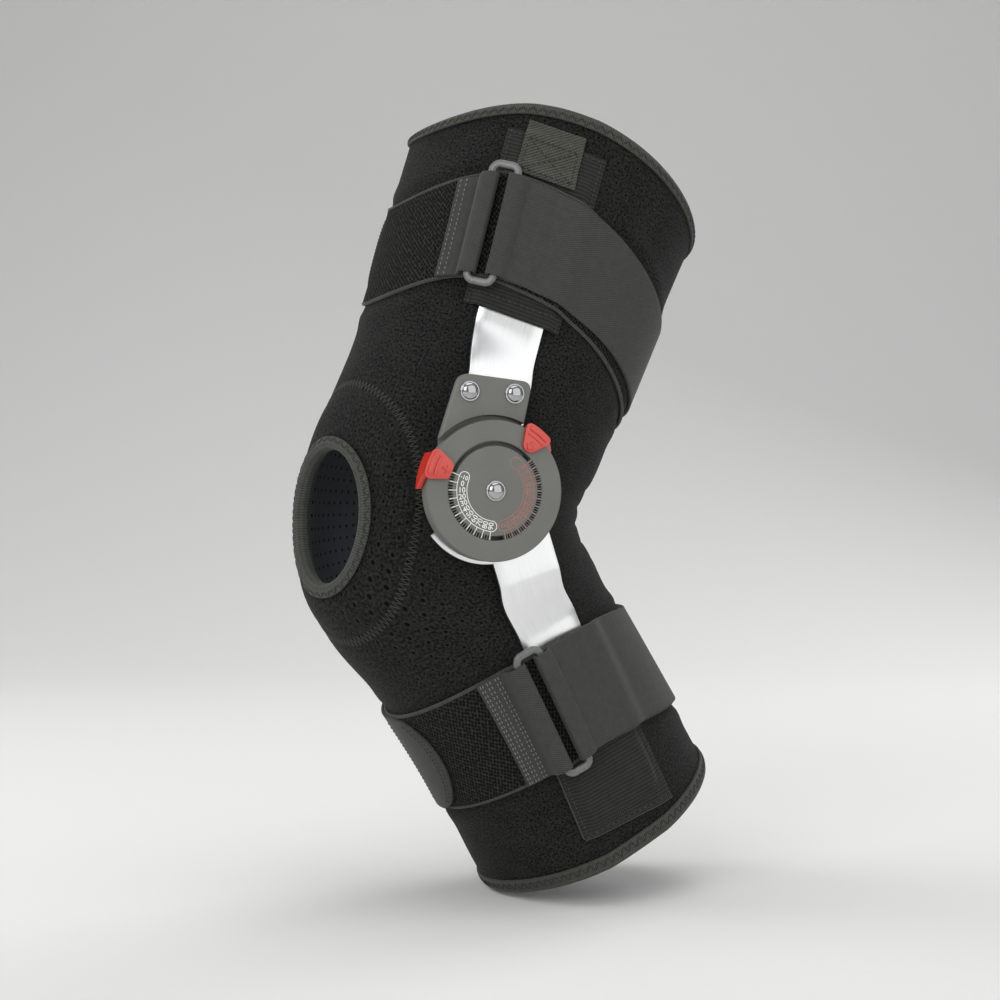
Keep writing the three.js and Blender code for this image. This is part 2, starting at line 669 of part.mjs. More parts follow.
// The angle of the middle of a slanted ring's slot at a run.
function slotAngle(ring, run) {
  const share = (run - ring.low.run) / (ring.top.run - ring.low.run);
  return lerp(ring.low.angle, ring.top.angle, share);
}

// The path of a ribbon folded through a ring, as distances from the ring's middle and offsets.
// It runs from the sewn end below, round the ring's bar, to the top layer. side is -1 or 1.
function foldPath(limb, ring, side, wall, reach, middle) {
  const degrees = ringDegrees(ring);
  const seat = ringSeat(limb, ring, side);
  const level = (across) => bandTop(limb, middle + side * across * degrees) + FOLD_LIFT + wall / 2;
  const outer = RING.width / 2;
  const inner = outer - RING.bar;
  const bend = FOLD_GAP + wall / 2;
  const slant = bend * Math.SQRT1_2;
  const top = seat + RING.wall;
  const layers = evenRows(outer + FOLD_CLEAR, reach, FOLD_ROWS);
  const below = layers.map((across) => [across, Math.min(level(across), seat - bend)]);
  const above = layers.map((across, i) => [across, Math.max(below[i][1] + wall + GAP, i ? 0 : top)]);
  const round = [
    [inner, seat - bend], [inner - slant, seat - slant], [inner - bend, seat],
    [inner - bend, top], [inner - slant, top + slant], [inner, top + bend], [outer, top + bend],
  ];
  const path = [...below.reverse(), ...round, ...above];
  return path.map(([across, offset]) => ({ across: side * across, offset }));
}

// A ribbon solid from a path that depends on where the slanted ring lies, spread between two edges.
function ribbon(ring, pathAt, wall, top, low) {
  const degrees = ringDegrees(ring);
  const polygons = evenRows(0, 1, BAND_ROWS).map((share) => {
    const slotRun = lerp(edgeRun(low, ring.low.angle), edgeRun(top, ring.top.angle), share);
    const middle = slotAngle(ring, slotRun);
    const path = pathAt(middle);
    const shifted = (way) =>
      path.map((point, i) => {
        const before = path[Math.max(i - 1, 0)];
        const after = path[Math.min(i + 1, path.length - 1)];
        const along = new THREE.Vector2(after.across - before.across, after.offset - before.offset);
        along.setLength((way * wall) / 2);
        const angle = middle + (point.across - along.y) * degrees;
        const run = lerp(edgeRun(low, angle), edgeRun(top, angle), share);
        return skin(angle, run, point.offset + along.x);
      });
    return [...shifted(1), ...shifted(-1).reverse()];
  });
  return loft(polygons, false);
}

function makeRingTab(limb, ring, top, low) {
  const pathAt = (middle) => foldPath(limb, ring, -1, TAB_WALL, ring.tab, middle);
  return ribbon(ring, pathAt, TAB_WALL, top, low);
}

function makeStrap(limb, ring, top, low) {
  const degrees = ringDegrees(ring);
  const settle = ring.low.angle + (ring.flap + FLAP_STEP) * degrees;
  const angles = [settle, ...columns(limb, settle + 1, ring.strapEnd), ring.strapEnd];
  const pathAt = (middle) => {
    const run = angles.map((angle) => ({
      across: (angle - middle) / degrees,
      offset: bandTop(limb, angle) + STRAP_WALL / 2,
    }));
    return [...foldPath(limb, ring, 1, STRAP_WALL, ring.flap, middle), ...run];
  };
  return ribbon(ring, pathAt, STRAP_WALL, top, low);
}

// Colours and finishes.
function finish(color, roughness, metalness = 0) {
  return new THREE.MeshStandardMaterial({ color, roughness, metalness });
}
const FABRIC = finish(0x1e1e1f, 0.95);
const TAPE_CLOTH = finish(0x45453f, 0.9);
const BAND_CLOTH = finish(0x2a2a2a, 0.95);
const STRAP_CLOTH = finish(0x434343, 0.85);
const POCKET_CLOTH = finish(0x2e2e2e, 0.9);
const ALUMINIUM = finish(0xd8dadb, 0.35, 1);
const COVER_PLASTIC = finish(0x5f605e, 0.55);
const CHROME = finish(0xe8e8ea, 0.12, 1);
const STOP_PLASTIC = finish(0xd8281c, 0.4);
const RING_PLASTIC = finish(0x77787a, 0.45);

const brace = new THREE.Group();
function add(name, geometry, material) {
  const part = geometry.index ? geometry : mergeVertices(geometry);
  part.computeVertexNormals();
  const mesh = new THREE.Mesh(part, material);
  mesh.name = name;
  brace.add(mesh);
}

add("sleeve", makeSleeve(), FABRIC);
add("top_binding", makeRimTape(EDGES.topRim, -1, TAPE.top), TAPE_CLOTH);
add("bottom_binding", makeRimTape(EDGES.bottomRim, 1, TAPE.bottom), TAPE_CLOTH);
add("knee_binding", makeKneeTape(), TAPE_CLOTH);

const { thighStrapTop, thighStrapLow, calfStrapTop, calfStrapLow } = EDGES;
add("thigh_band", makeBand(THIGH, EDGES.thighBandTop, EDGES.thighBandLow), BAND_CLOTH);
add("thigh_ring", makeRing(THIGH, RINGS.thigh), RING_PLASTIC);
add("thigh_ring_tab", makeRingTab(THIGH, RINGS.thigh, thighStrapTop, thighStrapLow), STRAP_CLOTH);
add("thigh_strap", makeStrap(THIGH, RINGS.thigh, thighStrapTop, thighStrapLow), STRAP_CLOTH);
add("calf_band", makeBand(CALF, EDGES.calfBandTop, EDGES.calfBandLow), BAND_CLOTH);
add("calf_ring", makeRing(CALF, RINGS.calf), RING_PLASTIC);
add("calf_ring_tab", makeRingTab(CALF, RINGS.calf, calfStrapTop, calfStrapLow), STRAP_CLOTH);
add("calf_strap", makeStrap(CALF, RINGS.calf, calfStrapTop, calfStrapLow), STRAP_CLOTH);

const thighPocket = makePocket(THIGH, POCKET_HALF.thigh, 0);
const calfPocket = makePocket(CALF, POCKET_HALF.calf, CALF_POCKET_SLANT);
const upperBar = makeUpperBar();
const lowerBar = makeLowerBar();
add("thigh_pocket", thighPocket, POCKET_CLOTH);
add("pull_tab", makePullTab(), STRAP_CLOTH);
add("calf_pocket", calfPocket, POCKET_CLOTH);
add("upper_bar", upperBar, ALUMINIUM);
add("lower_bar", lowerBar, ALUMINIUM);

add("hinge_cover", makeCover(true), COVER_PLASTIC);
add("dial", roundPlate(DISC.dial, LEVEL.dial, LEVEL.dialTop), COVER_PLASTIC);
for (const stop of STOPS) add(stop.name, makeStop(stop), STOP_PLASTIC);
for (const { name, u, w, level } of RIVETS) {
  const head = rivetHead(u, w, level + GAP);
  add(name, head, CHROME);
  add(`inner_${name}`, mirrored(head), CHROME);
}

// The inner side of the knee: the same bars and pockets mirrored, and a plain cover.
add("inner_thigh_pocket", mirrored(thighPocket), POCKET_CLOTH);
add("inner_calf_pocket", mirrored(calfPocket), POCKET_CLOTH);
add("inner_upper_bar", mirrored(upperBar), ALUMINIUM);
add("inner_lower_bar", mirrored(lowerBar), ALUMINIUM);
add("inner_hinge_cover", mirrored(makeCover(false)), COVER_PLASTIC);

export default brace;
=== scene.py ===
# %% [markdown]
# # A hinged knee brace, piece by piece
# The solids of the brace are already built and packed, and they come in as a fixed frame. This lesson
# dresses them: each soft or moulded piece is modelled again with its real thickness, folds and seams,
# and each surface gets a finish worked out from real sizes.

# %% Load the frame
import math

import bpy
import numpy as np
from mathutils import Matrix, Vector


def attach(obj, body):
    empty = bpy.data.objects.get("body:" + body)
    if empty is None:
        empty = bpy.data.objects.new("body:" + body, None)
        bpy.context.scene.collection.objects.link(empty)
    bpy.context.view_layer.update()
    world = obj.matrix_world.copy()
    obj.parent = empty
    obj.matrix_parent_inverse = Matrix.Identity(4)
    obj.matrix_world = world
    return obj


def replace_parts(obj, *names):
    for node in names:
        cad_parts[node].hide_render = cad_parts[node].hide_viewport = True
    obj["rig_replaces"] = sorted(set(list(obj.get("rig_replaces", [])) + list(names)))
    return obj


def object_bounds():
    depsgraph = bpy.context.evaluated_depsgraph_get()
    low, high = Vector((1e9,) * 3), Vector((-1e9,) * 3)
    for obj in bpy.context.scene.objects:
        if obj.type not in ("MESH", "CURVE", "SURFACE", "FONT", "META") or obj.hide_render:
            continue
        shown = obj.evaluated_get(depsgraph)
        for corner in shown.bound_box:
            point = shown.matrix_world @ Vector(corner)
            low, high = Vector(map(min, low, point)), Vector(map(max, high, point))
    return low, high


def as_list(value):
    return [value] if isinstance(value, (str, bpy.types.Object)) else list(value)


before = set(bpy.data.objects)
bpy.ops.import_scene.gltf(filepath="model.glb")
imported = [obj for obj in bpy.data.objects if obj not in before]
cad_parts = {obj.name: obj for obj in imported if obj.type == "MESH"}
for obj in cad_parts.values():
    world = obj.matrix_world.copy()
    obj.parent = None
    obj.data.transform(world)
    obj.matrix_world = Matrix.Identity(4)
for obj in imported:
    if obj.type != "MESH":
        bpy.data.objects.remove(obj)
CAD_BOX = [list(corner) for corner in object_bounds()]
MM = 0.001

# %% [markdown]
# ## The view
# The brace is seen from its outer side, a little towards the front of the knee and level with it. A camera
# is aimed from a distance with a narrow angle, which keeps the two ends of the brace at the same scale.

# %% Aim the camera
LOOK_AT = Vector((26.12, -9.51, -4.0)) * MM
VIEW_LINE = Vector((0.3420, 0.9397, 0.0))
CAMERA_DISTANCE = 0.9
CAMERA_ANGLE = math.radians(29.86)


def deselect():
    """Nothing is selected, so that the next tool touches only what it is given."""
    if bpy.context.object and bpy.context.object.mode != "OBJECT":
        bpy.ops.object.mode_set(mode="OBJECT")
    bpy.ops.object.select_all(action="DESELECT")


deselect()
aim = VIEW_LINE.to_track_quat("-Z", "Y").to_euler()
bpy.ops.object.camera_add(location=LOOK_AT - VIEW_LINE * CAMERA_DISTANCE, rotation=aim)
camera = bpy.context.object
camera.data.angle = CAMERA_ANGLE
camera.data.clip_start = 0.01
bpy.context.scene.camera = camera
print("camera at", [round(x, 3) for x in camera.location])

# %% [markdown]
# ## Floor and light
# A dark brace needs large soft lights: one in front as the key, one beside the camera that the flat
# metal bars can mirror, two behind that draw a thin bright edge round the dark cloth, and one above for
# the floor. The pale floor sweeps up on all four sides in soft curves, so no hard line crosses the
# picture from any side.

# %% Stage and lights
FLOOR_GAP = 0.0002
FLOOR_GREY = (0.9, 0.9, 0.89, 1)
FLOOR_ROUGHNESS = 0.9
SWEEP = dict(front=9, back=2.6, side=9, height=6, round=1.5, segments=24)
WORLD_GREY = (0.94, 0.95, 0.96, 1)
WORLD_STRENGTH = 0.36
MIRRORED_BOX = (0.62, -1.45, 0.4)
# place, size and watts of each soft box
SOFT_BOXES = [
    ((-1.15, -1.3, 0.75), 1.1, 11),
    (MIRRORED_BOX, 1.7, 8.5),
    ((1.25, 0.75, 0.9), 0.8, 7),
    ((-1.25, 0.65, 0.75), 0.8, 7),
    ((0.1, -0.2, 2.1), 1.8, 16),
]

deselect()
bpy.ops.mesh.primitive_cube_add(size=1)
floor = bpy.context.object
floor.name = "floor"
aside = VIEW_LINE.cross(Vector((0, 0, 1)))
level = Vector((0, 0, CAD_BOX[0][2] - FLOOR_GAP))
top_corners = []
for vertex in floor.data.vertices:
    if vertex.co.z > 0:
        top_corners.append(vertex.index)
    ahead = VIEW_LINE * (SWEEP["back"] if vertex.co.y > 0 else -SWEEP["front"])
    across = aside * (2 * SWEEP["side"] * vertex.co.x)
    up = Vector((0, 0, SWEEP["height"] * (vertex.co.z + 0.5)))
    vertex.co = level + ahead + across + up
for face in floor.data.polygons:
    face.select = all(i in top_corners for i in face.vertices)
bpy.context.tool_settings.mesh_select_mode = (False, False, True)
bpy.ops.object.mode_set(mode="EDIT")
bpy.ops.mesh.delete(type="FACE")
bpy.ops.mesh.select_all(action="SELECT")
bpy.ops.mesh.flip_normals()
bpy.ops.object.mode_set(mode="OBJECT")
curve = floor.modifiers.new("sweep", "BEVEL")
curve.width = SWEEP["round"]
curve.segments = SWEEP["segments"]
curve.use_clamp_overlap = False
bpy.ops.object.modifier_apply(modifier=curve.name)
bpy.ops.object.shade_smooth()
floor_paint = bpy.data.materials.new("floor_paint")
floor_paint.use_nodes = True
floor_shader = floor_paint.node_tree.nodes["Principled BSDF"]
floor_shader.inputs["Base Color"].default_value = FLOOR_GREY
floor_shader.inputs["Roughness"].default_value = FLOOR_ROUGHNESS
floor.data.materials.append(floor_paint)

for place, size, watts in SOFT_BOXES:
    facing = (-Vector(place)).to_track_quat("-Z", "Y").to_euler()
    bpy.ops.object.light_add(type="AREA", location=place, rotation=facing)
    bpy.context.object.data.size = size
    bpy.context.object.data.energy = watts
    if place == MIRRORED_BOX:
        # its lower edge is under the floor, where it would draw a hard line of light
        spared = bpy.data.collections.new("spared_by_the_mirrored_box")
        spared.objects.link(floor)
        bpy.context.object.light_linking.receiver_collection = spared
        spared.collection_objects[0].light_linking.link_state = "EXCLUDE"

world = bpy.data.worlds.new("studio")
world.use_nodes = True
sky = world.node_tree.nodes["Background"]
sky.inputs["Color"].default_value = WORLD_GREY
sky.inputs["Strength"].default_value = WORLD_STRENGTH
bpy.context.scene.world = world
bpy.context.scene.view_settings.view_transform = "Standard"
print("lights:", len(SOFT_BOXES))

# %% [markdown]
# ## The shape under the cloth
# Every soft piece lies on a bent leg. One function gives a point of the leg's surface from an angle round
# the leg, a run along its bent middle line and an offset outwards. Angle 0 is the outer side, 90 the back
# of the knee and -90 the front. The sizes are those of the solids, in millimetres.

# %% The leg's surface
THIGH_LEAN, CALF_LEAN = 20, 30
KNEE_X, KNEE_Z = -4, -20
BEND_RADIUS = 75
FAN_REACH = 75
# run, front, back and side of each oval section
SECTIONS = np.array([
    (-190, 59.5, 61.5, 53.5), (-150, 60.5, 62.5, 54.5), (-100, 59, 61.5, 55.5), (-60, 61, 60.5, 56.5),
    (-30, 70, 62, 57.5), (-10, 73.5, 61.5, 58.5), (10, 73, 62.5, 59.5), (35, 70, 64.5, 60.5),
    (70, 67, 66, 62), (110, 68.5, 68.5, 63.5), (160, 72.5, 72, 66), (200, 73.5, 75, 67),
])
# run, and how many degrees the line of the bars is turned there
SLANTS = np.array([
    (-190, -3.5), (-150, 0), (-60, 8), (-45, 9.3), (0, 0),
    (50, 0), (80, 3.3), (95, 2.5), (140, 0), (200, -3.2),
])
BAR_WIDTH, BAR_WALL = 30, 2
GAP = 0.3
SLEEVE_WALL = 3.5
POCKET_WALL = 1
BAND_WALL = STRAP_WALL = 1.4
TAB_WALL = 1.2
POCKET_FLAT, POCKET_FOOT = 15.5, 19.5
BAND_FLAT, BAND_FOOT = 16, 27
THIGH = dict(at=-17.5, radius=66, mouth=96, end=179, bar_end=160, press=(64, 80))
CALF = dict(at=2, radius=56, mouth=-66, end=-152.5, bar_end=-140, press=(-26, -37))
CLOSE_START, CLOSE_LENGTH = 1, 8


def smooth(value, start, end):
    """0 before start, 1 after end, and a soft step between them."""
    t = np.clip((value - start) / (end - start), 0, 1)
    return t * t * (3 - 2 * t)


def curve_through(table, column):
    """A smooth curve through a column of a table that never overshoots its rows."""
    runs, values = table[:, 0], table[:, column]
    steps = np.diff(values) / np.diff(runs)
    before, after = steps[:-1], steps[1:]
    same_way = before * after > 0
    slopes = np.zeros(len(runs))
    slopes[1:-1][same_way] = (2 * before * after)[same_way] / (before + after)[same_way]

    def at(run):
        i = np.clip(np.searchsorted(runs, run) - 1, 0, len(runs) - 2)
        span = runs[i + 1] - runs[i]
        t = np.clip((run - runs[i]) / span, 0, 1)
        ends = values[i] + (values[i + 1] - values[i]) * t * t * (3 - 2 * t)
        return ends + span * t * (1 - t) * (slopes[i] * (1 - t) - slopes[i + 1] * t)

    return at


front_at, back_at, side_at = (curve_through(SECTIONS, column) for column in (1, 2, 3))
slant_at = curve_through(SLANTS, 1)


def centre_at(run):
    """The middle line of the leg: two straight limbs and a bend."""
    turn, calf = math.radians(THIGH_LEAN + CALF_LEAN), math.radians(-CALF_LEAN)
    half = BEND_RADIUS * turn / 2
    tangent = BEND_RADIUS * math.tan(turn / 2)
    lean = calf + np.clip((run + half) / BEND_RADIUS, 0, turn)
    beyond = np.maximum(run - half, 0) - np.maximum(-run - half, 0)
    x = KNEE_X - math.sin(calf) * tangent + BEND_RADIUS * (math.cos(calf) - np.cos(lean))
    z = KNEE_Z - math.cos(calf) * tangent + BEND_RADIUS * (np.sin(lean) - math.sin(calf))
    return x + np.sin(lean) * beyond, z + np.cos(lean) * beyond


def across_pocket(limb, angle):
    """Millimetres across the brace from the middle of the nearest bar pocket."""
    return (np.arcsin(np.sin(np.radians(angle))) - math.radians(limb["at"])) * limb["radius"]


def dent_at(angle, run):
    """The cloth is flattened under the flat bars."""
    dent = np.zeros_like(run)
    for limb, here in ((THIGH, run > 0), (CALF, run <= 0)):
        across = across_pocket(limb, angle) / (BAR_WIDTH / 2)
        depth = BAR_WIDTH**2 / 8 / limb["radius"] * np.maximum(0, 1 - across**2)
        dent = np.where(here, depth * smooth(run, *limb["press"]), dent)
    return dent


def skin(angle, run, offset=0.0):
    """Points of the leg's surface, in metres."""
    angle, run, offset = np.broadcast_arrays(*(np.asarray(x, float) for x in (angle, run, offset)))
    swung = np.radians(angle + slant_at(run) * np.cos(np.radians(angle)))
    u, v = np.sin(swung), np.cos(swung)
    depth = np.where(u > 0, back_at(run), front_at(run))
    side = side_at(run)
    out = (offset - dent_at(angle, run)) / np.hypot(u * side, v * depth)
    a = depth * u + out * u * side
    b = side * v + out * v * depth
    x, z = centre_at(run)
    tilt = np.radians(-CALF_LEAN + (THIGH_LEAN + CALF_LEAN) * smooth(run, -FAN_REACH, FAN_REACH))
    return np.stack([x + a * np.cos(tilt), -b, z - a * np.sin(tilt)], -1) * MM


# crest and its angle, and how far the edge falls to the front and to the back
EDGES = dict(
    top_rim=(196, -13, 20, 22), bottom_rim=(-168.5, 4, -6.5, -4),
    thigh_band_top=(157.5, -27, 21, 36), thigh_band_low=(109, -30, 20, 33),
    thigh_strap_top=(156.2, -25, 21, 34), thigh_strap_low=(109.8, -22, 17, 27),
    calf_band_top=(-59, -10, 4, 17), calf_band_low=(-112, -10, 1.5, 17),
    calf_strap_top=(-58.6, -8, 4, 17), calf_strap_low=(-112, -8, 1.5, 17),
)


def edge_run(name, angle):
    """The run of a named edge at an angle."""
    crest, at, front, back = EDGES[name]
    u, c = np.sin(np.radians(angle)), math.sin(math.radians(at))
    fall = np.where(u < c, front * ((u - c) / (1 + c)) ** 2, back * ((u - c) / (1 - c)) ** 2)
    return crest - fall


def mix(start, end, share):
    return start + (end - start) * share


print("leg surface from run", SECTIONS[0, 0], "to", SECTIONS[-1, 0], "mm")

# %% [markdown]
# ## Finishes
# A finish starts from what the real material is and how its face was made. Colours are written as sRGB hex
# values, as a picture editor shows them, and turned to the linear values that a shader works with. Cloth
# patterns read a map named weave, which is laid on each piece in real metres, so a thread spacing in
# millimetres turns straight into a texture scale.

# %% Tools for finishes
WEAVE = "weave"


def linear(code):
    """A hex colour as linear red, green, blue and alpha."""
    parts = [int(code[i : i + 2], 16) / 255 for i in (0, 2, 4)]
    return tuple(c / 12.92 if c <= 0.04045 else ((c + 0.055) / 1.055) ** 2.4 for c in parts) + (1.0,)


def per(size):
    """The texture scale that gives a pattern of this size in millimetres."""
    return 1 / (size * MM)


def new_finish(name, settings):
    """A material with its shader's fixed values set on the shader itself."""
    material = bpy.data.materials.new(name)
    material.use_nodes = True
    shader = material.node_tree.nodes["Principled BSDF"]
    for socket, value in settings.items():
        shader.inputs[socket].default_value = value
    return material, material.node_tree, shader


def add_node(tree, kind, inputs, out=0, **settings):
    """Adds a node with its settings, values and links, and returns one of its outputs."""
    node = tree.nodes.new(kind)
    for name, value in settings.items():
        setattr(node, name, value)
    for socket, value in inputs.items():
        if isinstance(value, bpy.types.NodeSocket):
            tree.links.new(value, node.inputs[socket])
        else:
            node.inputs[socket].default_value = value
    return node.outputs[out]


def blend(tree, share, first, second):
    """A mix of two colours, each a hex code, a colour or a socket."""
    first, second = (linear(c) if isinstance(c, str) else c for c in (first, second))
    return add_node(tree, "ShaderNodeMix", {0: share, 6: first, 7: second}, out=2, data_type="RGBA")


def noise(tree, vector, size, detail, roughness=0.5):
    """Soft noise of a size in millimetres."""
    inputs = {"Vector": vector, "Scale": per(size), "Detail": detail, "Roughness": roughness}
    return add_node(tree, "ShaderNodeTexNoise", inputs)


def cells(tree, vector, pitch, unevenness):
    """The distance from the nearest point of a grid with a pitch in millimetres."""
    inputs = {"Vector": vector, "Scale": per(pitch), "Randomness": unevenness}
    return add_node(tree, "ShaderNodeTexVoronoi", inputs, voronoi_dimensions="2D")


def ramp(tree, value, start, end, first=0.0, last=1.0):
    """Turns a value from start to end into one from first to last."""
    inputs = {"Value": value, "From Min": start, "From Max": end, "To Min": first, "To Max": last}
    return add_node(tree, "ShaderNodeMapRange", inputs)


def weigh(tree, value, weight, plus=0.0):
    """A value times a weight, plus another."""
    return add_node(tree, "ShaderNodeMath", {0: value, 1: weight, 2: plus}, operation="MULTIPLY_ADD")


def turn_map(tree, weave, degrees, scale=(1, 1, 1)):
    """The weave map, turned and stretched."""
    inputs = {"Vector": weave, "Rotation": (0, 0, math.radians(degrees)), "Scale": scale}
    return add_node(tree, "ShaderNodeMapping", inputs)


def emboss(tree, shader, strength, depth, height):
    """Relief with a depth in millimetres."""
    inputs = {"Strength": strength, "Distance": depth * MM, "Height": height}
    tree.links.new(add_node(tree, "ShaderNodeBump", inputs), shader.inputs["Normal"])


print("finish tools ready")

# %% [markdown]
# ## Cloth finishes
# The sleeve is foam rubber faced with a brushed loop knit: it scatters light, shows a fine mottle of
# fibres and is pierced by rows of small holes, which the knee stretches wider. The lining is a smooth
# knit with a grid of small holes. The straps are a fine weave, the bands under them a coarse mesh of loops.

# %% Sleeve, lining and tape


def brushed_neoprene():
    """Foam rubber with a brushed loop face: matt, mottled, pierced, with painted shade in the holes and a
    painted highlight round them.
    """
    fixed = {"Roughness": 0.95, "Sheen Weight": 0.05, "Sheen Roughness": 0.5, "Specular IOR Level": 0.12}
    material, tree, shader = new_finish("brushed_neoprene", fixed)
    weave = add_node(tree, "ShaderNodeUVMap", {}, uv_map=WEAVE)
    fibre = noise(tree, weave, 1.1, 4, 0.7)
    nap = noise(tree, weave, 11, 2)
    tone = ramp(tree, weigh(tree, nap, 0.1, fibre), 0.45, 0.66)
    cloth = blend(tree, tone, "080808", "2f2f2e")
    # Holes on a slanted grid 6.2 mm apart, 1.4 mm wide and up to 2.5 mm where the knee stretches them.
    distance = cells(tree, turn_map(tree, weave, 33), 6.2, 0.06)
    stretch = add_node(tree, "ShaderNodeAttribute", {}, out=2, attribute_name="stretch")
    radius = weigh(tree, stretch, 0.09, 0.113)
    hole = ramp(tree, distance, weigh(tree, radius, 0.65), radius, 1, 0)
    # A painted highlight: a paler ring round each hole stands in for light caught by its raised edge.
    rim = ramp(tree, distance, radius, weigh(tree, radius, 1.9), 0.55, 0)
    # Painted shade: the holes are painted near black for the shade deep inside them.
    pierced = blend(tree, hole, blend(tree, rim, cloth, "30302f"), "010101")
    tree.links.new(pierced, shader.inputs["Base Color"])
    emboss(tree, shader, 0.7, 0.5, weigh(tree, hole, -1.6, fibre))
    return material


def knit_lining():
    """The smooth bluish knit inside the sleeve, with a grid of small holes 4.3 mm apart."""
    material, tree, shader = new_finish("knit_lining", {"Roughness": 0.85, "Specular IOR Level": 0.25})
    weave = add_node(tree, "ShaderNodeUVMap", {}, uv_map=WEAVE)
    hole = ramp(tree, cells(tree, weave, 4.3, 0), 0.1, 0.16, 1, 0)
    knit = noise(tree, weave, 1.2, 2)
    pierced = blend(tree, hole, blend(tree, knit, "585b60", "6e7176"), "16181c")
    tree.links.new(pierced, shader.inputs["Base Color"])
    emboss(tree, shader, 0.4, 0.3, weigh(tree, hole, -2.0, knit))
    return material


# dark and pale thread, pitch and turn of the first ribs, pitch and turn of the second, relief
CLOTHS = {
    "tape": ("33342f", "53544e", 0.95, 0, 2.2, 90, 0.16),
    "strap": ("333331", "4d4d4b", 0.9, 58, 1.15, -32, 0.1),
    "pocket": ("1b1b1a", "363634", 1.75, 90, 1.0, 0, 0.22),
    "webbing": ("292a26", "5a5b53", 1.2, 52, 1.2, -38, 0.25),
}
# A wave texture of scale 1 repeats every pi/10 units.
WAVE_REPEAT = math.pi / 10


def ribbed_cloth(name):
    """A woven face: two sets of ribs, one over the other, with uneven yarn."""
    dark, pale, pitch, turn, second_pitch, second_turn, relief = CLOTHS[name]
    fixed = {"Roughness": 0.88, "Sheen Weight": 0.1, "Sheen Roughness": 0.4, "Specular IOR Level": 0.25}
    material, tree, shader = new_finish(f"woven_{name}", fixed)
    weave = add_node(tree, "ShaderNodeUVMap", {}, uv_map=WEAVE)
    ribs = []
    for spacing, degrees in ((pitch, turn), (second_pitch, second_turn)):
        way = turn_map(tree, weave, degrees)
        scale = WAVE_REPEAT * per(spacing)
        wave = {"Vector": way, "Scale": scale, "Distortion": 0.6, "Detail": 1, "Detail Scale": 0.4}
        ribs.append(add_node(tree, "ShaderNodeTexWave", wave, out=1))
    height = weigh(tree, ribs[1], 0.45, ribs[0])
    yarn = noise(tree, weave, 3.5, 4)
    tone = ramp(tree, weigh(tree, yarn, 0.9, height), 0.35, 1.9)
    tree.links.new(blend(tree, tone, dark, pale), shader.inputs["Base Color"])
    emboss(tree, shader, 0.8, relief, height)
    return material


def loop_mesh():
    """Coarse loops that the straps grip: pale yarn round small dark gaps, drawn 1.3 mm apart to show."""
    material, tree, shader = new_finish("loop_mesh", {"Roughness": 0.92, "Specular IOR Level": 0.2})
    weave = add_node(tree, "ShaderNodeUVMap", {}, uv_map=WEAVE)
    distance = cells(tree, turn_map(tree, weave, 28, (1, 0.7, 1)), 1.3, 0.35)
    yarn = ramp(tree, distance, 0.26, 0.6)
    tree.links.new(blend(tree, yarn, "030303", "32322f"), shader.inputs["Base Color"])
    emboss(tree, shader, 0.9, 0.5, yarn)
    return material


def thread(name, code):
    """Twisted polyester thread."""
    material, tree, shader = new_finish(f"thread_{name}", {"Roughness": 0.6})
    place = add_node(tree, "ShaderNodeTexCoord", {}, out=3)
    twist = noise(tree, place, 0.8, 1)
    low = tuple(0.6 * c for c in linear(code)[:3]) + (1,)
    tree.links.new(blend(tree, twist, low, code), shader.inputs["Base Color"])
    return material


NEOPRENE, LINING, LOOPS = brushed_neoprene(), knit_lining(), loop_mesh()
TAPE, STRAP, POCKET, WEBBING = (ribbed_cloth(name) for name in CLOTHS)
DARK_THREAD = thread("dark", "262622")
GREY_THREAD = thread("grey", "41413e")
PALE_THREAD = thread("pale", "8c8c88")
print("cloth finishes:", [m.name for m in (NEOPRENE, LINING, LOOPS, TAPE, STRAP, POCKET, WEBBING)])

# %% [markdown]
# ## Metal and plastic finishes
# The bars are rolled aluminium, brushed along their length. The hinge's cover is moulded plastic with a
# fine spark-eroded grain, the stops are glossy red plastic, the rings plain grey plastic, and the rivets
# are polished domes. Moulded plastic is never quite even, so its gloss and tone drift a little.

# %% Bars, cover, stops, rings and rivets


def hard_finish(name, dark, pale, fixed, spot, grain, relief, rough):
    """A hard face whose tone drifts over spots of one size, with a fine grain of another."""
    material, tree, shader = new_finish(name, fixed)
    place = add_node(tree, "ShaderNodeTexCoord", {}, out=3)
    drift = noise(tree, place, spot, 3)
    tree.links.new(blend(tree, drift, dark, pale), shader.inputs["Base Color"])
    fine = noise(tree, place, grain, 2)
    tree.links.new(ramp(tree, fine, 0, 1, *rough), shader.inputs["Roughness"])
    emboss(tree, shader, 0.5, relief, fine)
    return material


def brushed_aluminium():
    """Rolled aluminium bar: fine scratches along its length, read from the weave map."""
    material, tree, shader = new_finish("brushed_aluminium", {"Metallic": 1.0})
    weave = add_node(tree, "ShaderNodeUVMap", {}, uv_map=WEAVE)
    lines = noise(tree, turn_map(tree, weave, 0, (1, 0.02, 1)), 0.5, 3)
    tree.links.new(blend(tree, lines, "e4e5e6", "fafafa"), shader.inputs["Base Color"])
    tree.links.new(ramp(tree, lines, 0, 1, 0.24, 0.36), shader.inputs["Roughness"])
    emboss(tree, shader, 0.25, 0.05, lines)
    return material


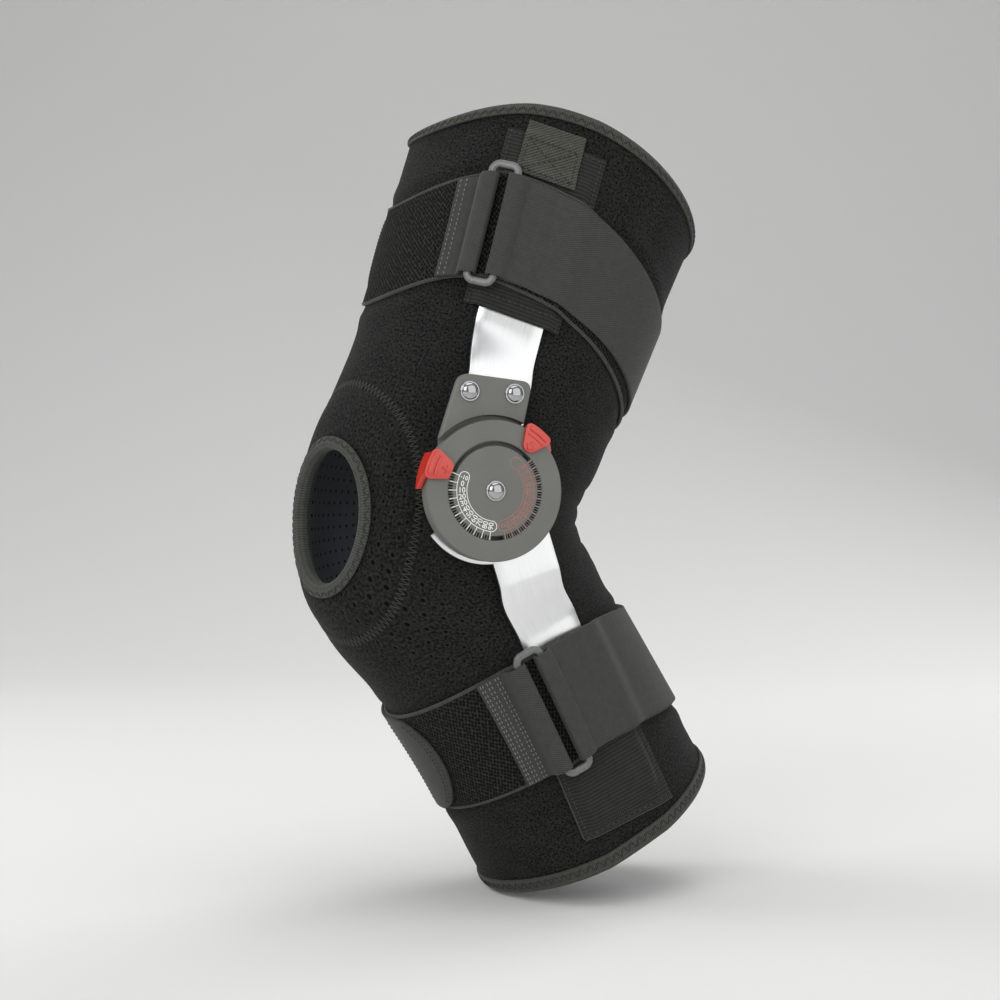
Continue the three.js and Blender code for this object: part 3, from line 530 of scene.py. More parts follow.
GLOSSY = {"Specular IOR Level": 1.0}
LACQUERED = {"IOR": 1.49, "Coat Weight": 0.3}
ALUMINIUM = brushed_aluminium()
COVER = hard_finish("cover_plastic", "666762", "73746e", {"IOR": 1.5}, 14, 0.7, 0.05, (0.42, 0.58))
CHROME = hard_finish("rivet_chrome", "a9a9ab", "bcbcbe", {"Metallic": 1.0}, 6, 1.5, 0.01, (0.05, 0.12))
STOP_RED = hard_finish("stop_plastic", "c22012", "da3a28", GLOSSY, 8, 1.0, 0.006, (0.2, 0.28))
RING_GREY = hard_finish("ring_plastic", "5c5d5d", "747573", LACQUERED, 9, 1.2, 0.02, (0.22, 0.34))
WHITE_INK = hard_finish("white_ink", "e2e2de", "f2f2ee", {}, 3, 0.5, 0.01, (0.5, 0.6))
RED_INK = hard_finish("red_ink", "9c6660", "ad7d76", {}, 3, 0.5, 0.01, (0.5, 0.6))
print("hard finishes:", [m.name for m in (ALUMINIUM, COVER, CHROME, STOP_RED, RING_GREY)])

# %% [markdown]
# ## Modelling tools
# A sheet of cloth starts as a flat grid. Its two sides are read as shares of the sheet's width and length,
# and each point is laid where that share lies on the leg. The grid's own map becomes the weave map, in
# metres. Thickness and rounded rims then come from Solidify and Bevel.

# %% Lay, weld, thicken and dress
WELD_REACH = 0.02 * MM
SHARP, SHADE_SHARP = math.radians(42), math.radians(40)


def pick(piece):
    """Only this piece is selected and active."""
    deselect()
    piece.select_set(True)
    bpy.context.view_layer.objects.active = piece


def lay_grid(name, columns, rows, place, weave, weld=False, trim=None):
    """A grid laid by place(s, t), mapped by weave(s, t). weld closes it where its edges meet."""
    deselect()
    bpy.ops.mesh.primitive_grid_add(x_subdivisions=columns, y_subdivisions=rows, size=1)
    piece = bpy.context.object
    piece.name = piece.data.name = name
    if trim:
        trim(piece)
    mesh = piece.data
    flat = np.empty(3 * len(mesh.vertices), np.float32)
    mesh.vertices.foreach_get("co", flat)
    s, t = flat.reshape(-1, 3)[:, :2].T.astype(float) + 0.5
    mesh.vertices.foreach_set("co", np.ascontiguousarray(place(s, t), np.float32).ravel())
    corners = np.empty(len(mesh.loops), np.int32)
    mesh.loops.foreach_get("vertex_index", corners)
    mesh.uv_layers.active.name = WEAVE
    mesh.uv_layers[WEAVE].data.foreach_set("uv", np.asarray(weave(s, t), np.float32)[corners].ravel())
    mesh.update()
    if weld:
        weld_edges(piece)
    return piece


def plain_map(s, t):
    """A map for pieces whose finish doesn't read it."""
    return np.stack([s, t], -1)


def edit_all(piece):
    pick(piece)
    bpy.ops.object.mode_set(mode="EDIT")
    bpy.ops.mesh.select_all(action="SELECT")


def weld_edges(piece):
    """Joins the points that lie on each other."""
    edit_all(piece)
    bpy.ops.mesh.remove_doubles(threshold=WELD_REACH)
    bpy.ops.object.mode_set(mode="OBJECT")


def face_outwards(piece):
    edit_all(piece)
    bpy.ops.mesh.normals_make_consistent(inside=False)
    bpy.ops.object.mode_set(mode="OBJECT")


def modify(piece, kind, **settings):
    """Adds a modifier and applies it."""
    pick(piece)
    modifier = piece.modifiers.new(kind.lower(), kind)
    for name, value in settings.items():
        setattr(modifier, name, value)
    bpy.ops.object.modifier_apply(modifier=modifier.name)


def soften(piece, width, segments=2):
    """Rounds the sharp edges and shades the rest smooth."""
    modify(piece, "BEVEL", width=width * MM, segments=segments, limit_method="ANGLE", angle_limit=SHARP)
    pick(piece)
    bpy.ops.object.shade_smooth_by_angle(angle=SHADE_SHARP)


def thicken(piece, wall, offset=0.0, rim=0.35, lining=0):
    """Gives a sheet its wall, with rounded rims."""
    settings = dict(thickness=wall * MM, offset=offset, use_even_offset=True, material_offset=lining)
    modify(piece, "SOLIDIFY", **settings)
    if rim:
        soften(piece, rim)


def dress(piece, finishes, nodes=(), body="brace"):
    """Finishes, body and the solids that the piece stands for."""
    for finish in finishes:
        if finish.name not in piece.data.materials:
            piece.data.materials.append(finish)
    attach(piece, body)
    if nodes:
        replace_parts(piece, *nodes)
    return piece


def mirror_copy(piece, name, nodes=()):
    """The same piece on the inner side of the leg."""
    pick(piece)
    bpy.ops.object.duplicate()
    copy = bpy.context.object
    copy.name = copy.data.name = name
    copy.parent = None
    if "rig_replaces" in copy:
        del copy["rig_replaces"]
    copy.data.transform(Matrix.Scale(-1, 4, (0, 1, 0)))
    face_outwards(copy)
    return dress(copy, (), nodes)


print("modelling tools ready")

# %% [markdown]
# ## The sleeve
# The sleeve is a foam tube with a hole for the kneecap. It isn't a plain tube: it swells a little beside
# each tight band, a padded ring stands up round the kneecap, and the bend pushes creases into the back of
# the knee. Those are worked into the surface before it gets its wall, because painted creases would vanish
# in the outline.

# %% Sleeve
OPENING = dict(angle=-73, run=9, half_angle=24.5, half_run=21)
# the hole in the sleeve is this much larger than the opening in the tape
OPENING_ROOM = 1.02
# edge points within this share of the opening belong to its rim
NEAR_OPENING = 1.5
PAD = dict(angle=-73, run=11, half_angle=47, half_run=41, rise=1.4, inside=0.6)
PAD.update(groove=0.5, groove_width=0.045)
SLEEVE_TUCK = 2.4
# the swell lies beside these band edges, above or below them, and clear of the bars
SWELL = dict(rise=0.9, from_edge=7, spread=5, start=(1.5, 6), clear=(25, 36))
BAND_EDGES = [("thigh_band_top", 1), ("thigh_band_low", -1), ("calf_band_top", 1), ("calf_band_low", -1)]
# run at the middle of the back, and depth, of each crease behind the knee
CREASES = [(-30, 0.8), (-17, 1.4), (-3, 1.7), (11, 1.5), (26, 0.9)]
CREASE = dict(width=3.2, middle=96, reach=36, spread=60, wander=2.2, wander_pitch=17)
# faint waves of the cloth, with their lengths along the leg and turns round it
RIPPLE = dict(height=0.3, lengths=(17, 29), turns=(3, 1.3), clear=(30, 45))
MAP_RADIUS = 62


def oval_share(oval, angle, run):
    """1 on the oval's edge, less inside it."""
    return np.hypot((angle - oval["angle"]) / oval["half_angle"], (run - oval["run"]) / oval["half_run"])


def puff(angle, run):
    """How far the sleeve's face stands off its plain oval, in millimetres."""
    rise = np.zeros_like(run)
    bars = np.where(run > 0, across_pocket(THIGH, angle), across_pocket(CALF, angle))
    free = smooth(np.abs(bars), *SWELL["clear"])
    for edge, way in BAND_EDGES:
        beyond = way * (run - edge_run(edge, angle))
        swell = SWELL["rise"] * np.exp(-(((beyond - SWELL["from_edge"]) / SWELL["spread"]) ** 2))
        rise = rise + free * swell * smooth(beyond, *SWELL["start"])
    share = oval_share(PAD, angle, run)
    padded = np.clip((share - PAD["inside"]) / (1 - PAD["inside"]), 0, 1)
    rise = rise + PAD["rise"] * np.sin(math.pi * padded)
    rise = rise - PAD["groove"] * np.exp(-(((share - 1) / PAD["groove_width"]) ** 2))
    away = angle - CREASE["middle"]
    back = np.exp(-((away / CREASE["reach"]) ** 2))
    for middle, depth in CREASES:
        wander = CREASE["wander"] * np.sin(away / CREASE["wander_pitch"] + middle)
        bow = middle * (1 + (away / CREASE["spread"]) ** 2) + wander
        rise = rise - depth * back * np.exp(-(((run - bow) / CREASE["width"]) ** 2))
    wave = RIPPLE["height"] * free * smooth(np.abs(bars), *RIPPLE["clear"])
    for length, turns in zip(RIPPLE["lengths"], RIPPLE["turns"]):
        wave = wave * np.sin(run / length + turns * np.radians(angle))
    return rise + wave


def sleeve_run(angle, t):
    return mix(edge_run("bottom_rim", angle) + SLEEVE_TUCK, edge_run("top_rim", angle) - SLEEVE_TUCK, t)


def open_kneecap(piece):
    """Deletes the faces inside the opening and draws its edge onto the oval."""
    mesh = piece.data
    flat = np.empty(3 * len(mesh.vertices), np.float32)
    mesh.vertices.foreach_get("co", flat)
    flat = flat.reshape(-1, 3).astype(float)
    angle = 360 * flat[:, 0]
    run = sleeve_run(angle, flat[:, 1] + 0.5)
    inside = oval_share(OPENING, angle, run) < OPENING_ROOM
    pick(piece)
    bpy.context.tool_settings.mesh_select_mode = (False, False, True)
    mesh.vertices.foreach_set("select", np.zeros(len(mesh.vertices), bool))
    mesh.edges.foreach_set("select", np.zeros(len(mesh.edges), bool))
    mesh.polygons.foreach_set("select", [any(inside[i] for i in face.vertices) for face in mesh.polygons])
    bpy.ops.object.mode_set(mode="EDIT")
    bpy.ops.mesh.delete(type="FACE")
    bpy.ops.object.mode_set(mode="OBJECT")
    uses = {}
    for face in mesh.polygons:
        for key in face.edge_keys:
            uses[key] = uses.get(key, 0) + 1
    rim = sorted({i for key, count in uses.items() if count == 1 for i in key})
    for i in rim:
        x, y = mesh.vertices[i].co.xy
        angle = 360 * x
        run = float(sleeve_run(angle, y + 0.5))
        if oval_share(OPENING, angle, run) > NEAR_OPENING:
            continue
        up = (run - OPENING["run"]) / OPENING["half_run"]
        turn = math.atan2(up, (angle - OPENING["angle"]) / OPENING["half_angle"])
        angle = OPENING["angle"] + OPENING_ROOM * OPENING["half_angle"] * math.cos(turn)
        run = OPENING["run"] + OPENING_ROOM * OPENING["half_run"] * math.sin(turn)
        low, top = sleeve_run(angle, 0.0), sleeve_run(angle, 1.0)
        mesh.vertices[i].co.xy = angle / 360, float((run - low) / (top - low)) - 0.5


def lay_sleeve(s, t):
    angle = mix(-180, 180, s)
    run = sleeve_run(angle, t)
    return skin(angle, run, puff(angle, run))


def sleeve_weave(s, t):
    angle = mix(-180, 180, s)
    return np.stack([np.radians(angle) * MAP_RADIUS, sleeve_run(angle, t)], -1) * MM


KNEE_STRETCH = dict(angle=-46, run=-17, half_angle=17, half_run=20)
sleeve = lay_grid("sleeve_cloth", 168, 152, lay_sleeve, sleeve_weave, trim=open_kneecap)
stretched = sleeve.data.attributes.new("stretch", "FLOAT", "POINT")
weave_map = np.empty(2 * len(sleeve.data.loops), np.float32)
sleeve.data.uv_layers[WEAVE].data.foreach_get("uv", weave_map)
corner_of = np.empty(len(sleeve.data.loops), np.int32)
sleeve.data.loops.foreach_get("vertex_index", corner_of)
on_leg = np.zeros((len(sleeve.data.vertices), 2))
on_leg[corner_of] = weave_map.reshape(-1, 2) / MM
pull = np.exp(-oval_share(KNEE_STRETCH, np.degrees(on_leg[:, 0] / MAP_RADIUS), on_leg[:, 1]) ** 2)
stretched.data.foreach_set("value", pull.astype(np.float32))
weld_edges(sleeve)
dress(sleeve, (NEOPRENE, LINING), ["sleeve"])
thicken(sleeve, SLEEVE_WALL, offset=-1, rim=0, lining=1)
bpy.ops.object.shade_smooth()
print("sleeve:", len(sleeve.data.polygons), "faces")

# %% [markdown]
# ## Tape over the edges
# Elastic tape is folded over both rims and round the kneecap opening, then sewn through with a zigzag.
# The fold is a U in section: two flat legs and a half circle. The zigzag is real thread, one small stitch
# modelled once and copied along the tape.

# %% Folded tape
TAPE_WALL = 1.2
TOP_TAPE, BOTTOM_TAPE = 6, 8
KNEE_TAPE = dict(width=4.8, gap=0.9, start=-1.8)
KNEE_TAPE_LENGTH = 150
DEGREES_PER_MM, RUN_PER_MM = 0.95, 0.6


def tape_fold(t, width, gap=GAP, start=0.0):
    """Offset, depth and length along a U-shaped fold, from its outer leg round to its inner one."""
    radius = (SLEEVE_WALL + 2 * gap + TAPE_WALL) / 2
    middle = start + TAPE_WALL / 2 + radius
    leg = width - middle
    along = t * (2 * leg + math.pi * radius)
    turn = np.clip((along - leg) / radius, 0, math.pi)
    past = np.maximum(along - leg - math.pi * radius, 0)
    offset = -SLEEVE_WALL / 2 + radius * np.cos(turn)
    depth = np.where(along < leg, width - along, middle - radius * np.sin(turn) + past)
    return offset, depth, along


def rim_tape(name, edge, way, width, node):
    """Tape over a rim. way is -1 where the sleeve lies below the rim and 1 where it lies above."""

    def place(s, t):
        offset, depth, _ = tape_fold(t, width)
        angle = mix(-180, 180, s)
        return skin(angle, edge_run(edge, angle) + way * depth, offset)

    def weave(s, t):
        return np.stack([2 * math.pi * MAP_RADIUS * s, tape_fold(t, width)[2]], -1) * MM

    return finish_tape(lay_grid(name, 150, 20, place, weave, weld=True), node)


def finish_tape(piece, node):
    """Wall and finish of a folded tape."""
    thicken(piece, TAPE_WALL)
    return dress(piece, (TAPE,), [node])


def beside_opening(turn, beyond, offset):
    angle = OPENING["angle"] + (OPENING["half_angle"] + beyond * DEGREES_PER_MM) * np.cos(turn)
    run = OPENING["run"] + (OPENING["half_run"] + beyond * RUN_PER_MM) * np.sin(turn)
    return skin(angle, run, offset)


def lay_knee_tape(s, t):
    offset, beyond, _ = tape_fold(t, **KNEE_TAPE)
    return beside_opening(2 * math.pi * s, beyond, offset)


def knee_tape_weave(s, t):
    return np.stack([KNEE_TAPE_LENGTH * s, tape_fold(t, **KNEE_TAPE)[2]], -1) * MM


top_tape = rim_tape("top_tape", "top_rim", -1, TOP_TAPE, "top_binding")
bottom_tape = rim_tape("bottom_tape", "bottom_rim", 1, BOTTOM_TAPE, "bottom_binding")
knee_tape = lay_grid("knee_tape", 96, 20, lay_knee_tape, knee_tape_weave, weld=True)
finish_tape(knee_tape, "knee_binding")
print("tapes:", [len(p.data.polygons) for p in (top_tape, bottom_tape, knee_tape)])

# %% Thread


def make_stitch():
    """One stitch as long as 1 and as thick as 1, bowed up in the middle. It lies along X."""
    deselect()
    bpy.ops.mesh.primitive_uv_sphere_add(segments=6, ring_count=6, radius=0.5, rotation=(0, math.pi / 2, 0))
    bpy.ops.object.transform_apply(location=False, rotation=True, scale=False)
    ball = bpy.context.object
    points = np.array([v.co[:] for v in ball.data.vertices])
    faces = [list(face.vertices) for face in ball.data.polygons]
    bpy.data.objects.remove(ball)
    return points, faces


STITCH_POINTS, STITCH_FACES = make_stitch()
LIFT = 0.32
THIN_THREAD, THREAD, THICK_THREAD = 0.45, 0.5, 0.55
KNEE_ZIGZAG = dict(middle=3.1, half=1.35)
# half the zigzag's width as shares of the pad
PAD_ZIGZAG = dict(angle=0.035, run=0.04)
PAD_STITCHES = 260


def sew(name, rows, thick, finish):
    """Copies the stitch along every row. A row is starts, ends and the way out of the face."""
    starts, ends, outs = (np.concatenate(part) for part in zip(*rows))
    along = ends - starts
    sides = np.cross(outs, along)
    sides /= np.linalg.norm(sides, axis=1, keepdims=True)
    ups = np.cross(along, sides)
    ups /= np.linalg.norm(ups, axis=1, keepdims=True)
    x, y, z = STITCH_POINTS.T[:, None, :, None]
    bow = LIFT * (1 - 4 * x**2) + z
    middles = ((starts + ends) / 2)[:, None]
    points = middles + x * along[:, None] + thick * MM * (y * sides[:, None] + bow * ups[:, None])
    count = len(STITCH_POINTS)
    faces = [[i * count + k for k in face] for i in range(len(starts)) for face in STITCH_FACES]
    mesh = bpy.data.meshes.new(name)
    mesh.from_pydata(points.reshape(-1, 3).tolist(), [], faces)
    piece = bpy.data.objects.new(name, mesh)
    bpy.context.collection.objects.link(piece)
    face_outwards(piece)
    bpy.ops.object.shade_smooth()
    return dress(piece, (finish,))


def zigzag_row(place, count):
    """Stitches from side to side. place(share, side, lift) gives a point over the face."""
    shares = np.arange(count + 1) / count
    side = np.where(np.arange(count + 1) % 2, 1.0, -1.0)
    points = place(shares, side, 0.0)
    return points[:-1], points[1:], (place(shares, side, 1.0) - points)[:-1]


def straight_row(place, count, fill=0.64):
    """Stitches one after another. place(share, lift) gives a point over the face."""
    middle = (np.arange(count) + 0.5) / count
    half = fill / 2 / count
    return place(middle - half, 0.0), place(middle + half, 0.0), place(middle, 1.0) - place(middle, 0.0)


def rim_zigzag(edge, way, depth, half):
    offset = -SLEEVE_WALL / 2 + (SLEEVE_WALL + 2 * GAP + TAPE_WALL) / 2 + TAPE_WALL / 2

    def place(share, side, lift):
        angle = mix(-180, 180, share)
        return skin(angle, edge_run(edge, angle) + way * (depth + half * side), offset + lift)

    return place


def knee_zigzag(share, side, lift):
    offset = KNEE_TAPE["gap"] + TAPE_WALL
    beyond = KNEE_ZIGZAG["middle"] + KNEE_ZIGZAG["half"] * side
    return beside_opening(2 * math.pi * share, beyond, offset + lift)


def pad_zigzag(share, side, lift):
    turn = 2 * math.pi * share
    angle = PAD["angle"] + PAD["half_angle"] * (1 + PAD_ZIGZAG["angle"] * side) * np.cos(turn)
    run = PAD["run"] + PAD["half_run"] * (1 + PAD_ZIGZAG["run"] * side) * np.sin(turn)
    return skin(angle, run, puff(angle, run) + lift)


# each tape, its fold, its zigzag and the number of stitches
TAPE_SEAMS = [
    (top_tape, dict(width=TOP_TAPE), rim_zigzag("top_rim", -1, 3.9, 1.5), 196),
    (bottom_tape, dict(width=BOTTOM_TAPE), rim_zigzag("bottom_rim", 1, 5.0, 1.9), 168),
    (knee_tape, KNEE_TAPE, knee_zigzag, 74),
]
for tape, fold, zigzag, count in TAPE_SEAMS:
    seam = sew(f"{tape.name}_thread", [zigzag_row(zigzag, count)], THREAD, DARK_THREAD)
    cut = float(tape_fold(1.0, **fold)[2]) * MM
sew("pad_thread", [zigzag_row(pad_zigzag, PAD_STITCHES)], THREAD, GREY_THREAD)
print("stitches:", sum(row[-1] for row in TAPE_SEAMS) + PAD_STITCHES)

# %% [markdown]
# ## Pockets, bands and piping
# The bars slide into flat pockets sewn to the sleeve. Over them go the loop bands, bound at both edges with
# a thin cord. The cloth is lifted where a bar lies under it, so every layer follows the one below.

# %% Pockets
POCKETS = [("thigh", THIGH, 22, 0, 0.5), ("calf", CALF, 22.5, 3.5, 0)]
HEM_WIDTH = 8
SEAM_IN = 2
STITCH_PITCH = 2.6


def on_limb(limb, across, run, offset):
    """A point by its distance across the middle of the pocket."""
    return skin(limb["at"] + np.degrees(across / limb["radius"]), run, offset)


def pocket_under(limb, across, run):
    """The inner face of a pocket: lifted over the bar, closed beyond the bar's end."""
    way = math.copysign(1, limb["bar_end"])
    start = limb["bar_end"] + way * CLOSE_START
    over = 1 - smooth(np.abs(across), POCKET_FLAT, POCKET_FOOT)
    return GAP + (BAR_WALL + GAP) * over * (1 - smooth(run, start, start + way * CLOSE_LENGTH))


def make_pocket(name, limb, half, slant, hem):
    """A pocket with its edge seams. hem is how much thicker the fold at its mouth is."""
    low, top = sorted((limb["mouth"], limb["end"]))

    def run_at(across, share):
        """Share 0 is the mouth, 1 the sewn end."""
        return mix(limb["mouth"], limb["end"] - slant * across / half, share)

    def over(across, run, lift):
        fold = hem * (1 - smooth(np.abs(run - limb["mouth"]), HEM_WIDTH - 1, HEM_WIDTH))
        return on_limb(limb, across, run, pocket_under(limb, across, run) + fold + lift)

    def place(s, t):
        across = mix(-half, half, s)
        return over(across, run_at(across, t if limb is THIGH else 1 - t), POCKET_WALL / 2)

    def weave(s, t):
        return np.stack([mix(-half, half, s), mix(low, top, t)], -1) * MM

    piece = lay_grid(f"{name}_pocket_cloth", 30, 46, place, weave)
    thicken(piece, POCKET_WALL)
    dress(piece, (POCKET,), [f"{name}_pocket"])
    rows = []
    inside = half - SEAM_IN
    count = int(abs(limb["end"] - limb["mouth"]) / STITCH_PITCH)
    for across in (-inside, inside):
        def down(share, lift):
            return over(across, run_at(across, share), POCKET_WALL + lift)

        rows.append(straight_row(down, count))
    ends = [limb["end"] - math.copysign(SEAM_IN, limb["end"])]
    if hem:
        ends.append(limb["mouth"] + HEM_WIDTH - SEAM_IN)
    for run in ends:
        def along(share, lift):
            across = mix(-inside, inside, share)
            return over(across, run - (slant * across / half if run == ends[0] else 0), POCKET_WALL + lift)

        rows.append(straight_row(along, int(2 * inside / STITCH_PITCH)))
    seam = sew(f"{name}_pocket_thread", rows, THIN_THREAD, GREY_THREAD)
    inner = mirror_copy(piece, f"inner_{name}_pocket_cloth", [f"inner_{name}_pocket"])
    inner_seam = mirror_copy(seam, f"inner_{name}_pocket_thread")
    sewn = [(piece, [seam]), (inner, [inner_seam])]
    return dict(half=half, over=over, run_at=run_at, sewn=sewn)


pockets = {name: make_pocket(name, *rest) for name, *rest in POCKETS}
print("pockets:", [cloth.name for pocket in pockets.values() for cloth, _ in pocket["sewn"]])

# %% Cord


def cord(name, place, count, radius, finish, sides=8):
    """A round cord whose middle follows place(share, lift). A cord that meets itself is closed."""

    def lay(s, t):
        step = 0.2 / count
        middle = place(s, 0.0)
        out = place(s, 1.0) - middle
        along = place(s + step, 0.0) - place(s - step, 0.0)
        side = np.cross(out, along)
        side /= np.linalg.norm(side, axis=1, keepdims=True)
        out /= np.linalg.norm(out, axis=1, keepdims=True)
        turn = -2 * math.pi * t[:, None]
        return middle + radius * MM * (np.cos(turn) * side + np.sin(turn) * out)

    def weave(s, t):
        return np.stack([s * count * 2, 2 * math.pi * radius * t], -1) * MM

    piece = lay_grid(name, count, sides, lay, weave, weld=True)
    edit_all(piece)
    bpy.ops.mesh.fill_holes(sides=0)
    bpy.ops.object.mode_set(mode="OBJECT")
    bpy.ops.object.shade_smooth()
    return dress(piece, (finish,))


PIPING = 0.5
DOWN_SHARE = 0.62


def calf_pocket_edge(share, lift):
    """Down the front edge of the calf pocket, then along its end."""
    pocket = pockets["calf"]
    down = np.clip(share / DOWN_SHARE, 0, 1)
    along = np.clip((share - DOWN_SHARE) / (1 - DOWN_SHARE), 0, 1)
    across = mix(-pocket["half"], pocket["half"], along)
    return pocket["over"](across, pocket["run_at"](across, down), POCKET_WALL / 2 + lift)


calf_piping = cord("calf_pocket_piping", calf_pocket_edge, 80, PIPING, GREY_THREAD)
inner_piping = mirror_copy(calf_piping, "inner_calf_pocket_piping")
for (_, extras), piping in zip(pockets["calf"]["sewn"], (calf_piping, inner_piping)):
    extras.append(piping)
for pocket in pockets.values():
    for cloth, extras in pocket["sewn"]:
        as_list(extras)
print("calf pocket piping:", len(calf_piping.data.polygons), "faces")

# %% Loop bands
BAND_PIPING = 0.95


def band_under(limb, angle):
    """The inner face of a band: lifted over bar and pocket on both sides of the leg."""
    lift = BAR_WALL + 2 * GAP + POCKET_WALL
    return GAP + lift * (1 - smooth(np.abs(across_pocket(limb, angle)), BAND_FLAT, BAND_FOOT))


def band_top(limb, angle):
    return band_under(limb, angle) + BAND_WALL + GAP


def make_band(name, limb):
    low, top = f"{name}_band_low", f"{name}_band_top"

    def place(s, t):
        angle = mix(-180, 180, s)
        run = mix(edge_run(low, angle), edge_run(top, angle), t)
        return skin(angle, run, band_under(limb, angle) + BAND_WALL / 2)

    def weave(s, t):
        angle = mix(-180, 180, s)
        run = mix(edge_run(low, angle), edge_run(top, angle), t)
        return np.stack([np.radians(angle) * limb["radius"], run], -1) * MM

    piece = lay_grid(f"{name}_band_cloth", 180, 14, place, weave, weld=True)
    thicken(piece, BAND_WALL)
    dress(piece, (LOOPS,), [f"{name}_band"])
    for edge in (low, top):
        def middle(share, lift):
            angle = mix(-180, 180, share)
            return skin(angle, edge_run(edge, angle), band_under(limb, angle) + BAND_WALL / 2 + lift)

        cord(f"{edge}_piping", middle, 180, BAND_PIPING, TAPE)
    width = float(np.mean(edge_run(top, np.arange(360)) - edge_run(low, np.arange(360)))) * MM
    return piece


bands = [make_band("thigh", THIGH), make_band("calf", CALF)]
print("bands:", [len(p.data.polygons) for p in bands])

# %% Pull tab
PULL_TAB = dict(left=-13.8, right=11.5, low=159.5, high=185, step=178.6, land=181.4, wall=1.2)
# corners of the sewn box, as across and run, and the pairs of corners that its rows of stitches join
BOX = [(-11.8, 161.5), (9.5, 161.5), (9.5, 176.5), (-11.8, 176.5)]
BOX_ROWS = [(0, 1), (1, 2), (2, 3), (3, 0), (0, 2), (1, 3)]
BOX_PITCH, BOX_FILL = 2.2, 0.7


def over_tab(across, run, lift):
    """A point over the middle of the pull tab's cloth: on the pocket, then down onto the sleeve."""
    on_pocket = pocket_under(THIGH, across, run) + POCKET_WALL + GAP
    under = mix(on_pocket, GAP, smooth(run, PULL_TAB["step"], PULL_TAB["land"]))
    return on_limb(THIGH, across, run, under + PULL_TAB["wall"] / 2 + lift)


def on_tab(s, t):
    """Across and run at two shares of the tab."""
    return mix(PULL_TAB["left"], PULL_TAB["right"], s), mix(PULL_TAB["low"], PULL_TAB["high"], t)


def lay_tab(s, t):
    return over_tab(*on_tab(s, t), 0.0)


def tab_weave(s, t):
    return np.stack(on_tab(s, t), -1) * MM


def tab_line(start, end):
    """A row of stitches between two points of the tab, given as across and run."""

    def place(share, lift):
        across, run = (mix(a, b, share) for a, b in zip(start, end))
        return over_tab(across, run, PULL_TAB["wall"] / 2 + lift)

    return straight_row(place, int(math.dist(start, end) / BOX_PITCH), BOX_FILL)


pull_tab = lay_grid("pull_tab_webbing", 26, 30, lay_tab, tab_weave)
thicken(pull_tab, PULL_TAB["wall"])
dress(pull_tab, (WEBBING,), ["pull_tab"])
box_rows = [tab_line(BOX[start], BOX[end]) for start, end in BOX_ROWS]
tab_thread = sew("pull_tab_thread", box_rows, THICK_THREAD, DARK_THREAD)
print("pull tab:", len(pull_tab.data.polygons), "faces")

# %% [markdown]
# ## Rings, tabs and straps
# A slotted ring lies on each band. A short tab, sewn to the band, holds one side of the ring. The strap is
# folded round the other side and taken round the back of the leg. A fold is a path: out under the ring's
# bar, round it and back over. A smooth curve through the path's corners keeps the fold soft. The strap's
# free end is rounded.

# %% Rings
RING = dict(width=15.5, bar=3.5, wall=2.6, corner=5.2, level=8)
FOLD_GAP, FOLD_CLEAR, FOLD_LIFT, FLAP_STEP = 0.6, 2, 0.1, 6
RINGS = dict(
    thigh=dict(limb=THIGH, low=(-32, 103.5), top=(-32, 161.5), tab=23.5, flap=20, strap_end=252),
    calf=dict(limb=CALF, low=(-11.9, -117), top=(-14.2, -53.6), tab=26, flap=20, strap_end=292),
)


def ring_degrees(ring):
    """Degrees of angle in a millimetre across the leg at the ring's level."""
    angle, run = np.add(ring["low"], ring["top"]) / 2
    span = np.linalg.norm(skin(angle - 5, run, RING["level"]) - skin(angle + 5, run, RING["level"])) / MM
    return 10 / span


def ring_seat(ring, side):
    """The offset of the ring's lower face on one side, clear of one layer of strap."""
    middle = (ring["low"][0] + ring["top"][0]) / 2
    outer = RING["width"] / 2
    under = np.array([outer - RING["bar"] - STRAP_WALL, outer - RING["bar"], outer])
    angles = middle + side * under * ring_degrees(ring)
    return float(np.max(band_top(ring["limb"], angles))) + STRAP_WALL + FOLD_GAP


def make_ring(name, ring):
    """A rounded frame, laid on the middle of the ring's four corners."""
    bar = (RING["width"] - RING["bar"]) / 2 * ring_degrees(ring)
    ends = (ring["low"], ring["top"])
    corners = [[skin(a + side * bar, r, ring_seat(ring, side)) for a, r in ends] for side in (-1, 1)]
    (left_low, left_top), (right_low, right_top) = corners
    up = (left_top + right_top - left_low - right_low) / 2
    length = np.linalg.norm(up) / MM
    out = np.cross(right_low + right_top - left_low - left_top, up)
    out, up = out / np.linalg.norm(out), up / np.linalg.norm(up)
    across = np.cross(up, out)
    middle = (left_low + left_top + right_low + right_top) / 4
    half = RING["bar"] / 2
    corner = RING["corner"] - half
    inset = np.array([RING["width"] / 2, length / 2]) - half - corner
    quarter = np.linspace(0, math.pi / 2, 9)
    turns = np.concatenate([quarter + k * math.pi / 2 for k in range(4)])
    way = np.stack([np.cos(turns), np.sin(turns)], -1)
    centres = np.repeat([(1, 1), (-1, 1), (-1, -1), (1, -1)], 9, axis=0) * inset
    count = len(turns)

    def lay(s, t):
        i = np.rint(s * count).astype(int) % count
        turn = 2 * math.pi * t
        squared = 0.6
        x, y = np.cos(turn), np.sin(turn)
        x, y = np.sign(x) * np.abs(x) ** squared, np.sign(y) * np.abs(y) ** squared
        flat = centres[i] + way[i] * (corner + half * x)[:, None]
        lift = RING["wall"] / 2 * (1 + y)
        return middle + MM * (flat[:, :1] * across + flat[:, 1:] * up + lift[:, None] * out)

    piece = lay_grid(f"{name}_ring_plastic", count, 16, lay, plain_map, weld=True)
    bpy.ops.object.shade_smooth()
    return dress(piece, (RING_GREY,), [f"{name}_ring"])


rings = [make_ring(name, ring) for name, ring in RINGS.items()]
print("rings:", [len(p.data.polygons) for p in rings])

# %% Folded tabs and straps


